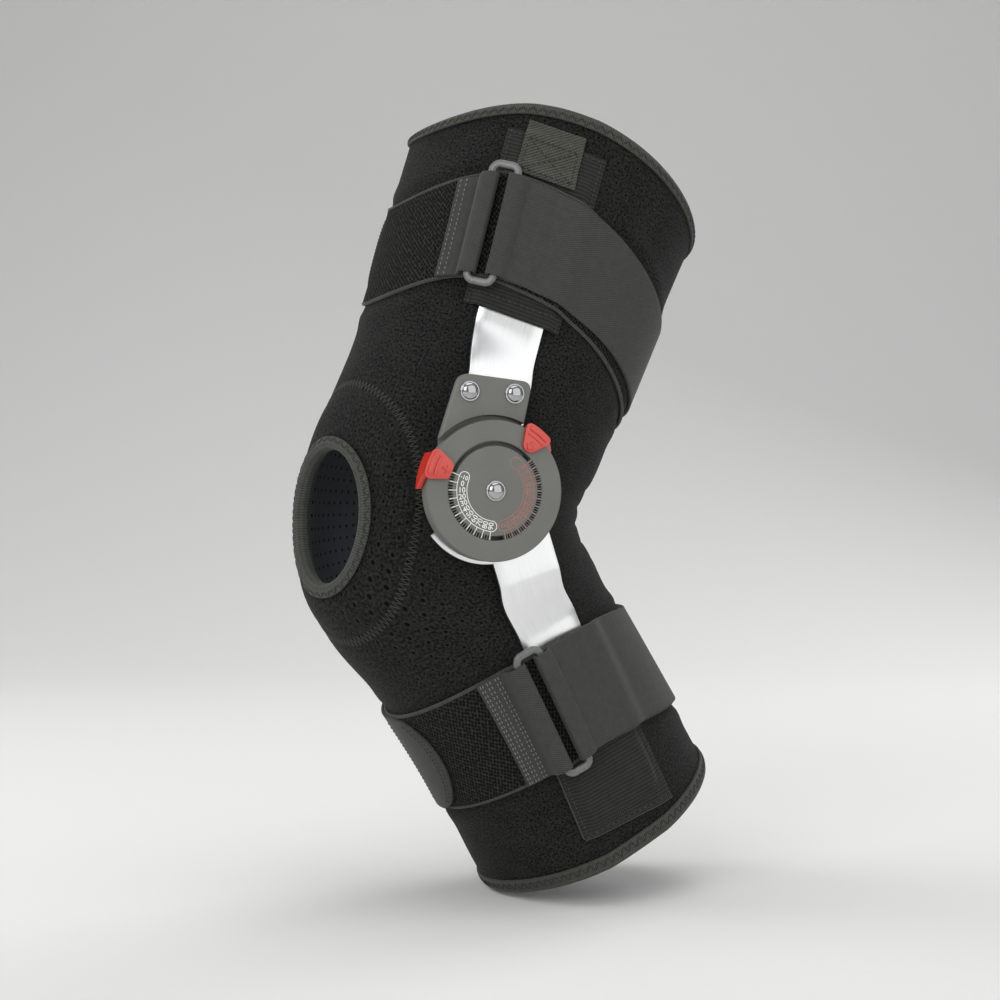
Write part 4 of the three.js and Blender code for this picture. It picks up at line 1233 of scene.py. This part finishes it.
def fold_path(ring, side, wall, reach, middle):
    """Corners of the fold as rows of distance from the ring's middle and offset."""
    limb, degrees, seat = ring["limb"], ring_degrees(ring), ring_seat(ring, side)
    outer = RING["width"] / 2
    inner = outer - RING["bar"]
    bend = FOLD_GAP + wall / 2
    slant = bend / math.sqrt(2)
    top = seat + RING["wall"]
    layers = np.linspace(outer + FOLD_CLEAR, reach, 6)
    level = band_top(limb, middle + side * layers * degrees) + FOLD_LIFT + wall / 2
    below = np.minimum(level, seat - bend)
    above = np.maximum(below + wall + GAP, np.where(np.arange(6), 0, top))
    ring_round = [
        (inner, seat - bend), (inner - slant, seat - slant), (inner - bend, seat), (inner - bend, top),
        (inner - slant, top + slant), (inner, top + bend), (outer, top + bend),
    ]
    path = np.concatenate([np.stack([layers, below], -1)[::-1], ring_round, np.stack([layers, above], -1)])
    return path * (side, 1)


def smooth_path(corners):
    """A soft curve through the corners."""
    ends = np.concatenate([2 * corners[:1] - corners[1:2], corners, 2 * corners[-1:] - corners[-2:-1]])
    t = np.linspace(0, 1, 8, endpoint=False)[:, None]
    spans = []
    for a, b, c, d in zip(ends, ends[1:], ends[2:], ends[3:]):
        reach = np.linalg.norm(c - b)
        first, last = (v * min(1, reach / max(np.linalg.norm(v), 1e-9)) for v in ((c - a) / 2, (d - b) / 2))
        square = 3 * (c - b) - 2 * first - last
        cube = 2 * (b - c) + first + last
        spans.append(b + first * t + square * t**2 + cube * t**3)
    return np.concatenate(spans + [corners[-1:]])


def slot_span(name, ring):
    """The runs of the strap's two edges at the ring."""
    return (float(edge_run(f"{name}_strap_{end}", ring[end][0])) for end in ("low", "top"))


def slot_middle(name, ring, share):
    """The angle of the slot's middle at a share of the strap's width."""
    run = mix(*slot_span(name, ring), share)
    return mix(ring["low"][0], ring["top"][0], (run - ring["low"][1]) / (ring["top"][1] - ring["low"][1]))


def across_strap(name, angle, share, offset):
    """A point at an angle and a share of the strap's width."""
    run = mix(edge_run(f"{name}_strap_low", angle), edge_run(f"{name}_strap_top", angle), share)
    return skin(angle, run, offset)


def end_cut(share):
    """How far a strap's rounded end falls back, at a share of its width."""
    return ROUND_END * (1 - np.sqrt(np.clip(1 - (2 * share - 1) ** 2, 0, 1)))


def shortened(along, total, cut):
    """Draws the last stretch of a ribbon back to its cut end."""
    start = total - END_ZONE
    return np.where(along > start, start + (along - start) * (1 - cut / END_ZONE), along)


def ribbon(name, piece_name, ring, path_at, wall, columns, rows, cut=np.zeros_like):
    """A ribbon along path_at(middle), as wide as the strap."""
    degrees = ring_degrees(ring)

    def soft_path(share):
        path = smooth_path(path_at(slot_middle(name, ring, share)))
        return path, np.concatenate([[0], np.cumsum(np.linalg.norm(np.diff(path, axis=0), axis=1))])

    length = soft_path(0.5)[1][-1]

    def spread(s):
        """More columns in the fold than along the leg."""
        return np.interp(s, [0, FOLD_SHARE, 1], [0, min(FOLD_LENGTH / length, FOLD_SHARE), 1])

    def place(s, t):
        points = np.empty((len(s), 3))
        for share in np.unique(t):
            row = t == share
            path, lengths = soft_path(share)
            along = shortened(spread(s[row]) * lengths[-1], lengths[-1], cut(share))
            across, offset = (np.interp(along, lengths, path[:, k]) for k in (0, 1))
            angle = slot_middle(name, ring, share) + across * degrees
            points[row] = across_strap(name, angle, share, offset)
        return points

    low, top = slot_span(name, ring)

    def weave(s, t):
        return np.stack([shortened(spread(s) * length, length, cut(t)), mix(low, top, t)], -1) * MM

    piece = lay_grid(piece_name, columns, rows, place, weave)
    thicken(piece, wall)
    return piece, (top - low) * MM


FOLD_SHARE, FOLD_LENGTH = 0.45, 62
# rows that hold the hook patch under the strap's end, as distances from that end
STRAP_END_ROWS = (2.5, 5, 34)
END_ROW_SPAN, END_STITCHES = (0.07, 0.93), 21
# how far a strap's end is rounded, and the stretch of it that the cut draws back
ROUND_END, END_ZONE = 20, 45
# distances of the rows of stitches from the ring's middle
TAB_ROWS = dict(thigh=(18.6, 21.6), calf=(15.4, 16.9, 19.6, 21.1, 23.2, 24.4))
TAB_PITCH, TAB_FILL = 2.3, 0.6


def tab_row(name, ring, across):
    """Stitches along the width of a tab."""
    degrees = ring_degrees(ring)

    def place(shares, lift):
        points = []
        for share in shares:
            middle = slot_middle(name, ring, share)
            top = fold_path(ring, -1, TAB_WALL, ring["tab"], middle)[-6:]
            offset = np.interp(across, -top[:, 0], top[:, 1]) + TAB_WALL / 2 + lift
            points.append(across_strap(name, middle - across * degrees, share, offset))
        return np.array(points)

    low, top = slot_span(name, ring)
    return straight_row(place, int((top - low) / TAB_PITCH), TAB_FILL)


def make_tab(name, ring):
    def path_at(middle):
        return fold_path(ring, -1, TAB_WALL, ring["tab"], middle)

    piece, width = ribbon(name, f"{name}_tab_cloth", ring, path_at, TAB_WALL, 120, 12)
    dress(piece, (STRAP,), [f"{name}_ring_tab"])
    rows = [tab_row(name, ring, across) for across in TAB_ROWS[name]]
    seam = sew(f"{name}_tab_thread", rows, THICK_THREAD, PALE_THREAD)
    return piece


def make_strap(name, ring):
    degrees = ring_degrees(ring)
    settle = ring["low"][0] + (ring["flap"] + FLAP_STEP) * degrees
    angles = np.arange(settle, ring["strap_end"] + 0.1, 2.0)
    level = band_top(ring["limb"], angles) + STRAP_WALL / 2

    def path_at(middle):
        fold = fold_path(ring, 1, STRAP_WALL, ring["flap"], middle)
        return np.concatenate([fold, np.stack([(angles - middle) / degrees, level], -1)])

    piece, width = ribbon(name, f"{name}_strap_cloth", ring, path_at, STRAP_WALL, 240, 20, end_cut)
    dress(piece, (STRAP,), [f"{name}_strap"])

    def end_row(back):
        def place(shares, lift):
            share = mix(*END_ROW_SPAN, shares)
            fall = end_cut(share) if back < ROUND_END else 0
            angle = ring["strap_end"] - (back + fall) * degrees
            return across_strap(name, angle, share, band_top(ring["limb"], angle) + STRAP_WALL + lift)

        return straight_row(place, END_STITCHES)

    rows = [end_row(back) for back in STRAP_END_ROWS]
    seam = sew(f"{name}_strap_thread", rows, THREAD, DARK_THREAD)
    return piece


tabs = [make_tab(name, ring) for name, ring in RINGS.items()]
straps = [make_strap(name, ring) for name, ring in RINGS.items()]
print("tabs and straps:", [len(p.data.polygons) for p in tabs + straps])

# %% [markdown]
# ## The bars
# Each bar is a flat aluminium strip. It leaves the hinge's plane, bends once towards the leg and lies on
# the sleeve under its pocket. Under the hinge both bars end in round heads, and the lower one has a rim
# that shows below the disc.

# %% Bars
BAR_END, BAR_END_HALF, BAR_ROUND = 5, 11, 0.3
# distance of each face from the middle plane of the leg
LEVEL = dict(
    lower_bar=62, upper_bar=64.3, cover=66.6, moat=70, neck_top=71.2, recess=73, dial=73.3,
    dial_top=75.5, cover_top=75.6, stop_wall=66.8, stop=75.9, stop_top=77.6,
)
# a bar passes its anchor at its lean, leaves the hinge's plane at one height and lands on the leg at one
UPPER_BAR = dict(
    anchor=(6.3, 52), lean=12.3, start=14, leave=49, land=76, skin=(64, 92), level=LEVEL["upper_bar"],
)
LOWER_BAR = dict(
    anchor=(27.5, -60), lean=-17.6, start=-14, leave=-38, land=-62, skin=(-22, -54),
    level=LEVEL["lower_bar"],
)
HEAD = 27
LOWER_RIM = dict(inner=25, outer=32.9, start=217, end=328)
SHY = 0.04


def hinge_edges(bar, height):
    """Both edges of the bar on the hinge's flat plane, in millimetres."""
    lean = math.radians(bar["lean"])
    middle = bar["anchor"][0] + (height - bar["anchor"][1]) * math.tan(lean)
    sides = np.array([-BAR_WIDTH / 2, BAR_WIDTH / 2])
    x, z = middle + sides * math.cos(lean), height - sides * math.sin(lean)
    return np.stack([x, np.full(2, -bar["level"]), z], -1)


def leg_edges(limb, run, half):
    return on_limb(limb, np.array([-half, half]), run, GAP) / MM


def bar_rows(limb, bar):
    """Edges of the bar from the hinge to its end."""
    rows = [hinge_edges(bar, h) for h in np.linspace(bar["start"], bar["leave"], 8, endpoint=False)]
    for t in np.linspace(0, 1, 25):
        flat = hinge_edges(bar, mix(bar["leave"], bar["land"], t))
        laid = leg_edges(limb, mix(*bar["skin"], t), BAR_WIDTH / 2)
        rows.append(mix(flat, laid, smooth(t, 0, 1)))
    way = math.copysign(1, limb["bar_end"])
    full = limb["bar_end"] - way * BAR_END
    rows += [leg_edges(limb, run, BAR_WIDTH / 2) for run in np.linspace(bar["skin"][1], full, 16)[1:]]
    for t in np.linspace(0, 1, 6)[1:]:
        half = BAR_END_HALF + (BAR_WIDTH / 2 - BAR_END_HALF) * math.sqrt(1 - t * t)
        rows.append(leg_edges(limb, full + way * BAR_END * t, half))
    return np.array(rows) * MM


def face_map(piece):
    """Maps a piece on the hinge's plane by its own x and z."""
    mesh = piece.data
    mesh.uv_layers.active.name = WEAVE
    for loop in mesh.loops:
        x, _, z = mesh.vertices[loop.vertex_index].co
        mesh.uv_layers[WEAVE].data[loop.index].uv = x, z


def turned(name, profile, steps=96, centre=(0, 0)):
    """A closed profile of radius and level, spun round an axis across the knee."""
    deselect()
    u, w = centre
    bpy.ops.mesh.primitive_circle_add(vertices=len(profile), radius=1)
    piece = bpy.context.object
    piece.name = piece.data.name = name
    for vertex, (radius, level) in zip(piece.data.vertices, profile):
        vertex.co = Vector((u + radius, -level, w)) * MM
    edit_all(piece)
    bpy.ops.mesh.spin(steps=steps, angle=2 * math.pi, center=(u * MM, 0, w * MM), axis=(0, 1, 0))
    bpy.ops.mesh.select_all(action="SELECT")
    bpy.ops.mesh.remove_doubles(threshold=0.005 * MM)
    bpy.ops.mesh.normals_make_consistent(inside=False)
    bpy.ops.object.mode_set(mode="OBJECT")
    return piece


def plate(name, outline, low, high):
    """A flat outline on the hinge's plane, extruded between two levels."""
    deselect()
    bpy.ops.mesh.primitive_circle_add(vertices=len(outline), radius=1, fill_type="NGON")
    piece = bpy.context.object
    piece.name = piece.data.name = name
    for vertex, (u, w) in zip(piece.data.vertices, outline):
        vertex.co = Vector((u, -low, w)) * MM
    edit_all(piece)
    bpy.ops.mesh.extrude_region_move(TRANSFORM_OT_translate={"value": (0, (low - high) * MM, 0)})
    bpy.ops.mesh.select_all(action="SELECT")
    bpy.ops.mesh.normals_make_consistent(inside=False)
    bpy.ops.object.mode_set(mode="OBJECT")
    return piece


def polar(radius, degrees):
    return radius * math.cos(math.radians(degrees)), radius * math.sin(math.radians(degrees))


def sector(inner, outer, start, end, steps=24):
    """The outline of a piece of a ring, in degrees."""
    turns = np.radians(np.linspace(start, end, steps))
    ways = np.stack([np.cos(turns), np.sin(turns)], -1)
    return np.concatenate([ways * outer, ways[::-1] * inner])


def join(piece, *others):
    """Joins pieces into the first one."""
    pick(piece)
    for other in others:
        other.select_set(True)
    bpy.ops.object.join()
    return piece


def combine(piece, other, operation="UNION"):
    """A boolean with another piece, which is used up."""
    modify(piece, "BOOLEAN", object=other, operation=operation, solver="EXACT")
    bpy.data.objects.remove(other)
    return piece


def make_bar(name, limb, bar, extra):
    rows = bar_rows(limb, bar)
    if limb is CALF:
        rows = rows[::-1]
    last = len(rows) - 1

    def place(s, t):
        row = rows[np.rint(t * last).astype(int)]
        return mix(row[:, 0], row[:, 1], s[:, None])

    steps = np.linalg.norm(np.diff(rows.mean(1), axis=0), axis=1)
    lengths = np.concatenate([[0], np.cumsum(steps)])

    def weave(s, t):
        return np.stack([s * BAR_WIDTH * MM, lengths[np.rint(t * last).astype(int)]], -1)

    piece = lay_grid(f"{name}_metal", 6, last, place, weave)
    thicken(piece, BAR_WALL, offset=1, rim=BAR_ROUND)
    level, top = bar["level"] + SHY, bar["level"] + BAR_WALL - SHY
    head = turned(f"{name}_head", [(0, level), (HEAD, level), (HEAD, top), (0, top)])
    rims = [plate(f"{name}_rim", sector(**rim, steps=48), level + SHY, top - SHY) for rim in extra]
    heads = [head] + rims
    for part in heads:
        soften(part, BAR_ROUND)
        face_map(part)
    join(piece, *heads)
    dress(piece, (ALUMINIUM,), [name])
    mirror_copy(piece, f"inner_{name}_metal", [f"inner_{name}"])
    return piece


bars = [make_bar("upper_bar", THIGH, UPPER_BAR, []), make_bar("lower_bar", CALF, LOWER_BAR, [LOWER_RIM])]
print("bars:", [len(p.data.polygons) for p in bars])

# %% [markdown]
# ## The hinge
# The cover is a disc with a neck, moulded in one, with a groove between them. A dial sits in a round recess
# in the disc, with a deep moat and small teeth round it. Two red stops clip over the rim and can be set at
# any number of the dial's two scales. Round-headed rivets hold the stack.

# %% Cover and dial
DISC = dict(radius=31.5, round=0.8, recess=22, lip=0.4, moat=20.3, dial=20, dial_round=0.4)
# radius and depth of the groove in the plain cover of the inner side
PLAIN_GROOVE = [(24.2, 0), (23.9, 0.5), (21.9, 0.5), (21.6, 0), (0, 0)]
NECK_CORNERS = [(-24.2, 23.8), (-14.9, 52.4), (19.3, 48.8), (15.1, 29.5)]
NECK_ROUND, NECK_RIM = 5, 0.7
NECK_GROOVE = dict(inner=30.5, outer=33.5, flare=0.5, depth=3.6, above=1)
NECK_SHARP, TURNED_SHARP, RIVET_SHARP = math.radians(50), math.radians(35), math.radians(50)


def rounded(radius, level, size, start, steps=5):
    """A quarter round in a profile, from its first to its last direction in degrees."""
    turns = np.radians(np.linspace(start, start + 90, steps))
    return [(radius + size * math.cos(t), level + size * math.sin(t)) for t in turns]


def neck_outline():
    low_left, top_left, top_right, low_right = (np.array(c, float) for c in NECK_CORNERS)

    def arc(before, corner, after):
        a = corner + (before - corner) / np.linalg.norm(before - corner) * NECK_ROUND
        b = corner + (after - corner) / np.linalg.norm(after - corner) * NECK_ROUND
        return [(1 - t) ** 2 * a + 2 * t * (1 - t) * corner + t * t * b for t in np.linspace(0, 1, 9)]

    corners = arc(low_left, top_left, top_right) + arc(top_left, top_right, low_right)
    return [(low_left[0], 0), low_left] + corners + [low_right, (low_right[0], 0)]


def make_cover(name, has_dial, nodes):
    """The moulded cover: a turned disc and a neck with a groove between them."""
    radius, size, recess = DISC["radius"], DISC["round"], DISC["recess"]
    low, top, floor_level = LEVEL["cover"], LEVEL["cover_top"], LEVEL["recess"]
    edge = radius - size
    profile = [(0, low)] + rounded(edge, low + size, size, -90) + rounded(edge, top - size, size, 0)
    if has_dial:
        profile += [(recess + DISC["lip"], top), (recess, top - DISC["lip"]), (recess, LEVEL["moat"])]
        profile += [(DISC["moat"], LEVEL["moat"]), (DISC["moat"], floor_level), (0, floor_level)]
    else:
        profile += [(reach, top - depth) for reach, depth in PLAIN_GROOVE]
    disc = turned(f"{name}_disc", profile)
    neck = plate(f"{name}_neck", neck_outline(), low + SHY, LEVEL["neck_top"])
    modify(neck, "BEVEL", width=NECK_RIM * MM, segments=3, limit_method="ANGLE", angle_limit=NECK_SHARP)
    inner, outer = NECK_GROOVE["inner"], NECK_GROOVE["outer"]
    groove_low = LEVEL["neck_top"] - NECK_GROOVE["depth"]
    groove_top = LEVEL["neck_top"] + NECK_GROOVE["above"]
    flared = outer + NECK_GROOVE["flare"]
    ring = [(inner, groove_low), (outer, groove_low), (flared, groove_top), (inner, groove_top)]
    combine(neck, turned("groove", ring), "DIFFERENCE")
    join(disc, neck)
    disc.name = disc.data.name = name
    pick(disc)
    bpy.ops.object.shade_smooth_by_angle(angle=TURNED_SHARP)
    return dress(disc, (COVER,), nodes)


cover = make_cover("hinge_cover_plastic", True, ["hinge_cover"])
inner_cover = make_cover("inner_hinge_cover_plastic", False, [])
mirror_copy(inner_cover, "inner_cover_plastic", ["inner_hinge_cover"])
bpy.data.objects.remove(inner_cover)
dial_size = DISC["dial_round"]
dial_edge = rounded(DISC["dial"] - dial_size, LEVEL["dial_top"] - dial_size, dial_size, 0, 4)
dial_low = [(0, LEVEL["dial"]), (DISC["dial"], LEVEL["dial"])]
dial = turned("dial_plastic", dial_low + dial_edge + [(0, LEVEL["dial_top"])])
bpy.ops.object.shade_smooth_by_angle(angle=TURNED_SHARP)
dress(dial, (COVER,), ["dial"])
print("cover and dial:", len(cover.data.polygons), len(dial.data.polygons))

# %% Rivets
RIVET = dict(radius=4.6, height=2.4, flange=0.45, round=0.3, ledge=0.7)
RIVETS = [
    ("pivot_rivet", 0, 0, LEVEL["dial_top"]), ("neck_rivet_front", -10.6, 44.2, LEVEL["neck_top"]),
    ("neck_rivet_back", 10.6, 43.4, LEVEL["neck_top"]),
]
dome_radius, dome_rise = RIVET["radius"] - RIVET["ledge"], RIVET["height"] - RIVET["flange"]
dome_turns = np.radians(np.linspace(0, 90, 10))[:-1]
dome = [(dome_radius * math.cos(t), RIVET["flange"] + dome_rise * math.sin(t)) for t in dome_turns]
rivet_size = RIVET["round"]
rivet_edge = rounded(RIVET["radius"] - rivet_size, RIVET["flange"] - rivet_size, rivet_size, 0, 4)
rivet_low = [(0, -GAP), (RIVET["radius"], -GAP)]
rivet_model = turned("rivet_model", rivet_low + rivet_edge + dome + [(0, RIVET["height"])], steps=32)
bpy.ops.object.shade_smooth_by_angle(angle=RIVET_SHARP)
for name, u, w, level in RIVETS:
    pick(rivet_model)
    bpy.ops.object.duplicate()
    rivet = bpy.context.object
    rivet.name = rivet.data.name = f"{name}_chrome"
    rivet.data.transform(Matrix.Translation(Vector((u, -level - GAP, w)) * MM))
    dress(rivet, (CHROME,), [name])
    mirror_copy(rivet, f"inner_{name}_chrome", [f"inner_{name}"])
bpy.data.objects.remove(rivet_model)
print("rivets:", 2 * len(RIVETS))

# %% Stops
STOP = dict(inner=31.9, outer=34.4, half=7.6, tail=12.9, tail_top=68.4, face_half=13.5, tip=22.6, lap=0.5)
# how round the corners of a stop are, at the rim and at the tip
RIM_ROUND, TIP_ROUND = 3.5, 2.2
# how far the edges of a stop and of its marks are rounded
STOP_SOFT, MARK_SOFT = 0.45, 0.2
STOPS = [("extension_stop", 158, 9, 1), ("flexion_stop", 52, 6, -1)]
RIDGES = [(31.4, 33.4), (29.2, 30.5)]
ARROW = [(-2, -0.4), (0, 2.2), (2, -0.4), (0.5, -0.1), (0.5, -2.2), (-0.5, -2.2), (-0.5, -0.1)]
RELIEF, SUNK = 0.6, 0.1
RIDGE_SHARE, ARROW_RADIUS = 0.64, 25.2


def fan_outline(at, tip_half):
    """A fan with rounded corners, from its tip on the dial to the rim."""
    tip, outer = STOP["tip"], STOP["outer"]
    points = []
    for corner, start in (((1, 1), 0), ((-1, 1), 90), ((-1, -1), 180), ((1, -1), 270)):
        size = RIM_ROUND if corner[1] > 0 else TIP_ROUND
        for turn in np.radians(np.linspace(start, start + 90, 7)):
            reach = (tip + outer) / 2 + corner[1] * ((outer - tip) / 2 - size) + size * math.sin(turn)
            share = (reach - tip) / (outer - tip)
            half = mix(tip_half, STOP["face_half"], share)
            bend = math.degrees(size / reach)
            points.append(polar(reach, at + corner[0] * (half - bend) + bend * math.cos(turn)))
        side = [mix(-1, 1, t) for t in np.linspace(0, 1, 8)[1:-1]]
        if corner[0] == corner[1]:
            reach = outer if corner[1] > 0 else tip
            half = STOP["face_half"] if corner[1] > 0 else tip_half
            inside = half - math.degrees(size / reach)
            points += [polar(reach, at - corner[0] * inside * t) for t in side]
    return points


def rim_wall(at, tail_side):
    """The wall that grips the disc's edge. Its top falls along a tail on one side."""
    inner, outer = STOP["inner"], STOP["outer"] - SHY
    middle = (inner + outer) / 2

    def place(s, t):
        along = mix(-STOP["half"], STOP["half"] + STOP["tail"], s)
        turn = np.radians(at + tail_side * along)
        fall = np.clip((along - STOP["half"]) / STOP["tail"], 0, 1)
        level = mix(LEVEL["stop_wall"], mix(LEVEL["stop"] + STOP["lap"], STOP["tail_top"], fall), t)
        return np.stack([middle * np.cos(turn), -level, middle * np.sin(turn)], -1) * MM

    wall = lay_grid("wall", 28, 4, place, plain_map)
    thicken(wall, outer - inner, rim=0)
    return wall


def make_stop(name, at, tip_half, tail_side):
    """A clip: a fan over the disc's rim and a wall down its edge, with raised marks."""
    stop = plate(f"{name}_plastic", fan_outline(at, tip_half), LEVEL["stop"], LEVEL["stop_top"])
    combine(stop, rim_wall(at, tail_side))
    soften(stop, STOP_SOFT, 3)
    low, high = LEVEL["stop_top"] - SUNK, LEVEL["stop_top"] + RELIEF
    reach = RIDGE_SHARE * STOP["face_half"]
    marks = [plate("ridge", sector(a, b, at - reach, at + reach), low, high) for a, b in RIDGES]
    out = np.array(polar(1, at))
    side = np.array((out[1], -out[0]))
    marks.append(plate("arrow", [out * (ARROW_RADIUS - y) + side * x for x, y in ARROW], low, high))
    for mark in marks:
        soften(mark, MARK_SOFT, 2)
    join(stop, *marks)
    return dress(stop, (STOP_RED,), [name], body=name)


stops = [make_stop(*row) for row in STOPS]
print("stops:", [len(p.data.polygons) for p in stops])

# %% Scales
INK, INK_GAP = 0.06, 0.01
INK_LEVEL = LEVEL["dial_top"] + INK_GAP
# sizes of numbers with one, two and three characters, and how much bolder their strokes are
NUMBER_SIZES = (3.4, 3.4, 2.7)
NUMBER_BOLD = 0.05
MINOR_TICKS = 3
TOOTH = dict(inner=19.8, outer=22.2, wide=0.85, thin=0.35)
# numbers, degrees of the first and last tick, ends of the outline, and 1 where the numbers read outwards
SCALES = [
    ("extension", range(-10, 91, 10), 158, 262.5, (157, 263.5), -1, WHITE_INK),
    ("flexion", range(120, -1, -10), 39, -77.5, (53, -76.5), 1, RED_INK),
]
NUMBER_RADIUS, LINE_RADII, TICK_RADII = 15.75, (13.4, 18.1), (18.1, 21.8)
LINE_WIDTH, TICK_WIDTH = 0.36, 0.34
TOOTH_CORNERS = [("inner", -1), ("outer", -1), ("outer", 1), ("inner", 1)]


def flat_strip(name, path, width):
    """A thin printed line along a closed or open path on the dial."""
    path = np.array(path)
    closed = np.allclose(path[0], path[-1])
    count = len(path) - 1
    along = np.gradient(path, axis=0)
    if closed:
        along[0] = along[-1] = path[1] - path[-2]
    side = np.stack([along[:, 1], -along[:, 0]], -1) / np.linalg.norm(along, axis=1)[:, None]

    def place(s, t):
        i = np.rint(s * count).astype(int)
        flat = path[i] + side[i] * ((t - 0.5) * width)[:, None]
        return np.stack([flat[:, 0], np.full(len(s), -INK_LEVEL - INK), flat[:, 1]], -1) * MM

    piece = lay_grid(name, count, 1, place, plain_map, weld=closed)
    face_outwards(piece)
    modify(piece, "SOLIDIFY", thickness=INK * MM, offset=-1)
    return piece


def capsule(inner, outer, start, end):
    """A rounded outline round a row of numbers."""
    middle, half = (inner + outer) / 2, (outer - inner) / 2
    way = math.copysign(1, end - start)
    points = [polar(outer, d) for d in np.linspace(start, end, 40)]
    for centre, first in ((end, 0), (start, 180)):
        if first:
            points += [polar(inner, d) for d in np.linspace(end, start, 40)]
        c = np.array(polar(middle, centre))
        for a in np.linspace(0, 180, 13)[1:-1]:
            turn = math.radians(centre + first + way * a)
            points.append(tuple(c + half * np.array((math.cos(turn), math.sin(turn)))))
    return points + points[:1]


def number(text, degrees, way):
    """A number that reads along the dial's radius, outwards or inwards."""
    deselect()
    bpy.ops.object.text_add()
    letters = bpy.context.object
    letters.data.body = text
    letters.data.size = NUMBER_SIZES[len(text) - 1] * MM
    letters.data.offset = NUMBER_BOLD * MM
    letters.data.align_x = letters.data.align_y = "CENTER"
    letters.data.resolution_u = 3
    letters.data.extrude = INK / 2 * MM
    bpy.ops.object.convert(target="MESH")
    turn = math.radians(degrees)
    right = Vector((math.cos(turn), 0, math.sin(turn))) * way
    up = Vector((-math.sin(turn), 0, math.cos(turn))) * way
    place = Matrix((right, up, Vector((0, -1, 0)))).transposed().to_4x4()
    u, w = polar(NUMBER_RADIUS, degrees)
    place.translation = Vector((u, -INK_LEVEL - INK / 2, w)) * MM
    letters.data.transform(place)
    return letters


def round_hinge(model, name, degrees):
    """A copy of a model that lies at 0 degrees, turned about the hinge's axis."""
    pick(model)
    bpy.ops.object.duplicate()
    copy = bpy.context.object
    copy.name = copy.data.name = name
    copy.data.transform(Matrix.Rotation(-math.radians(degrees), 4, "Y"))
    return copy


def make_tooth(width):
    """One tooth across the moat, at 0 degrees."""
    outline = [(TOOTH[end], side * width / 2) for end, side in TOOTH_CORNERS]
    return plate("tooth", outline, LEVEL["recess"], LEVEL["dial_top"] - SHY)


tick = flat_strip("tick", [polar(r, 0) for r in TICK_RADII], TICK_WIDTH)
wide_tooth, thin_tooth = make_tooth(TOOTH["wide"]), make_tooth(TOOTH["thin"])
for name, numbers, first, last, ends, way, ink in SCALES:
    turns = np.linspace(first, last, len(numbers))
    marks = [flat_strip(f"{name}_scale", capsule(*LINE_RADII, *ends), LINE_WIDTH)]
    marks += [round_hinge(tick, "tick_copy", d) for d in turns]
    marks += [number(str(n), d, way) for n, d in zip(numbers, turns)]
    scale = join(*marks)
    dress(scale, (ink,))
    teeth = []
    for i, d in enumerate(np.linspace(first, last, MINOR_TICKS * (len(numbers) - 1) + 1)):
        teeth.append(round_hinge(thin_tooth if i % MINOR_TICKS else wide_tooth, f"{name}_teeth", d))
    dress(join(*teeth), (COVER,))
    print(name, "scale:", len(numbers), "numbers,", len(scale.data.polygons), "faces")
for model in (tick, wide_tooth, thin_tooth):
    bpy.data.objects.remove(model)
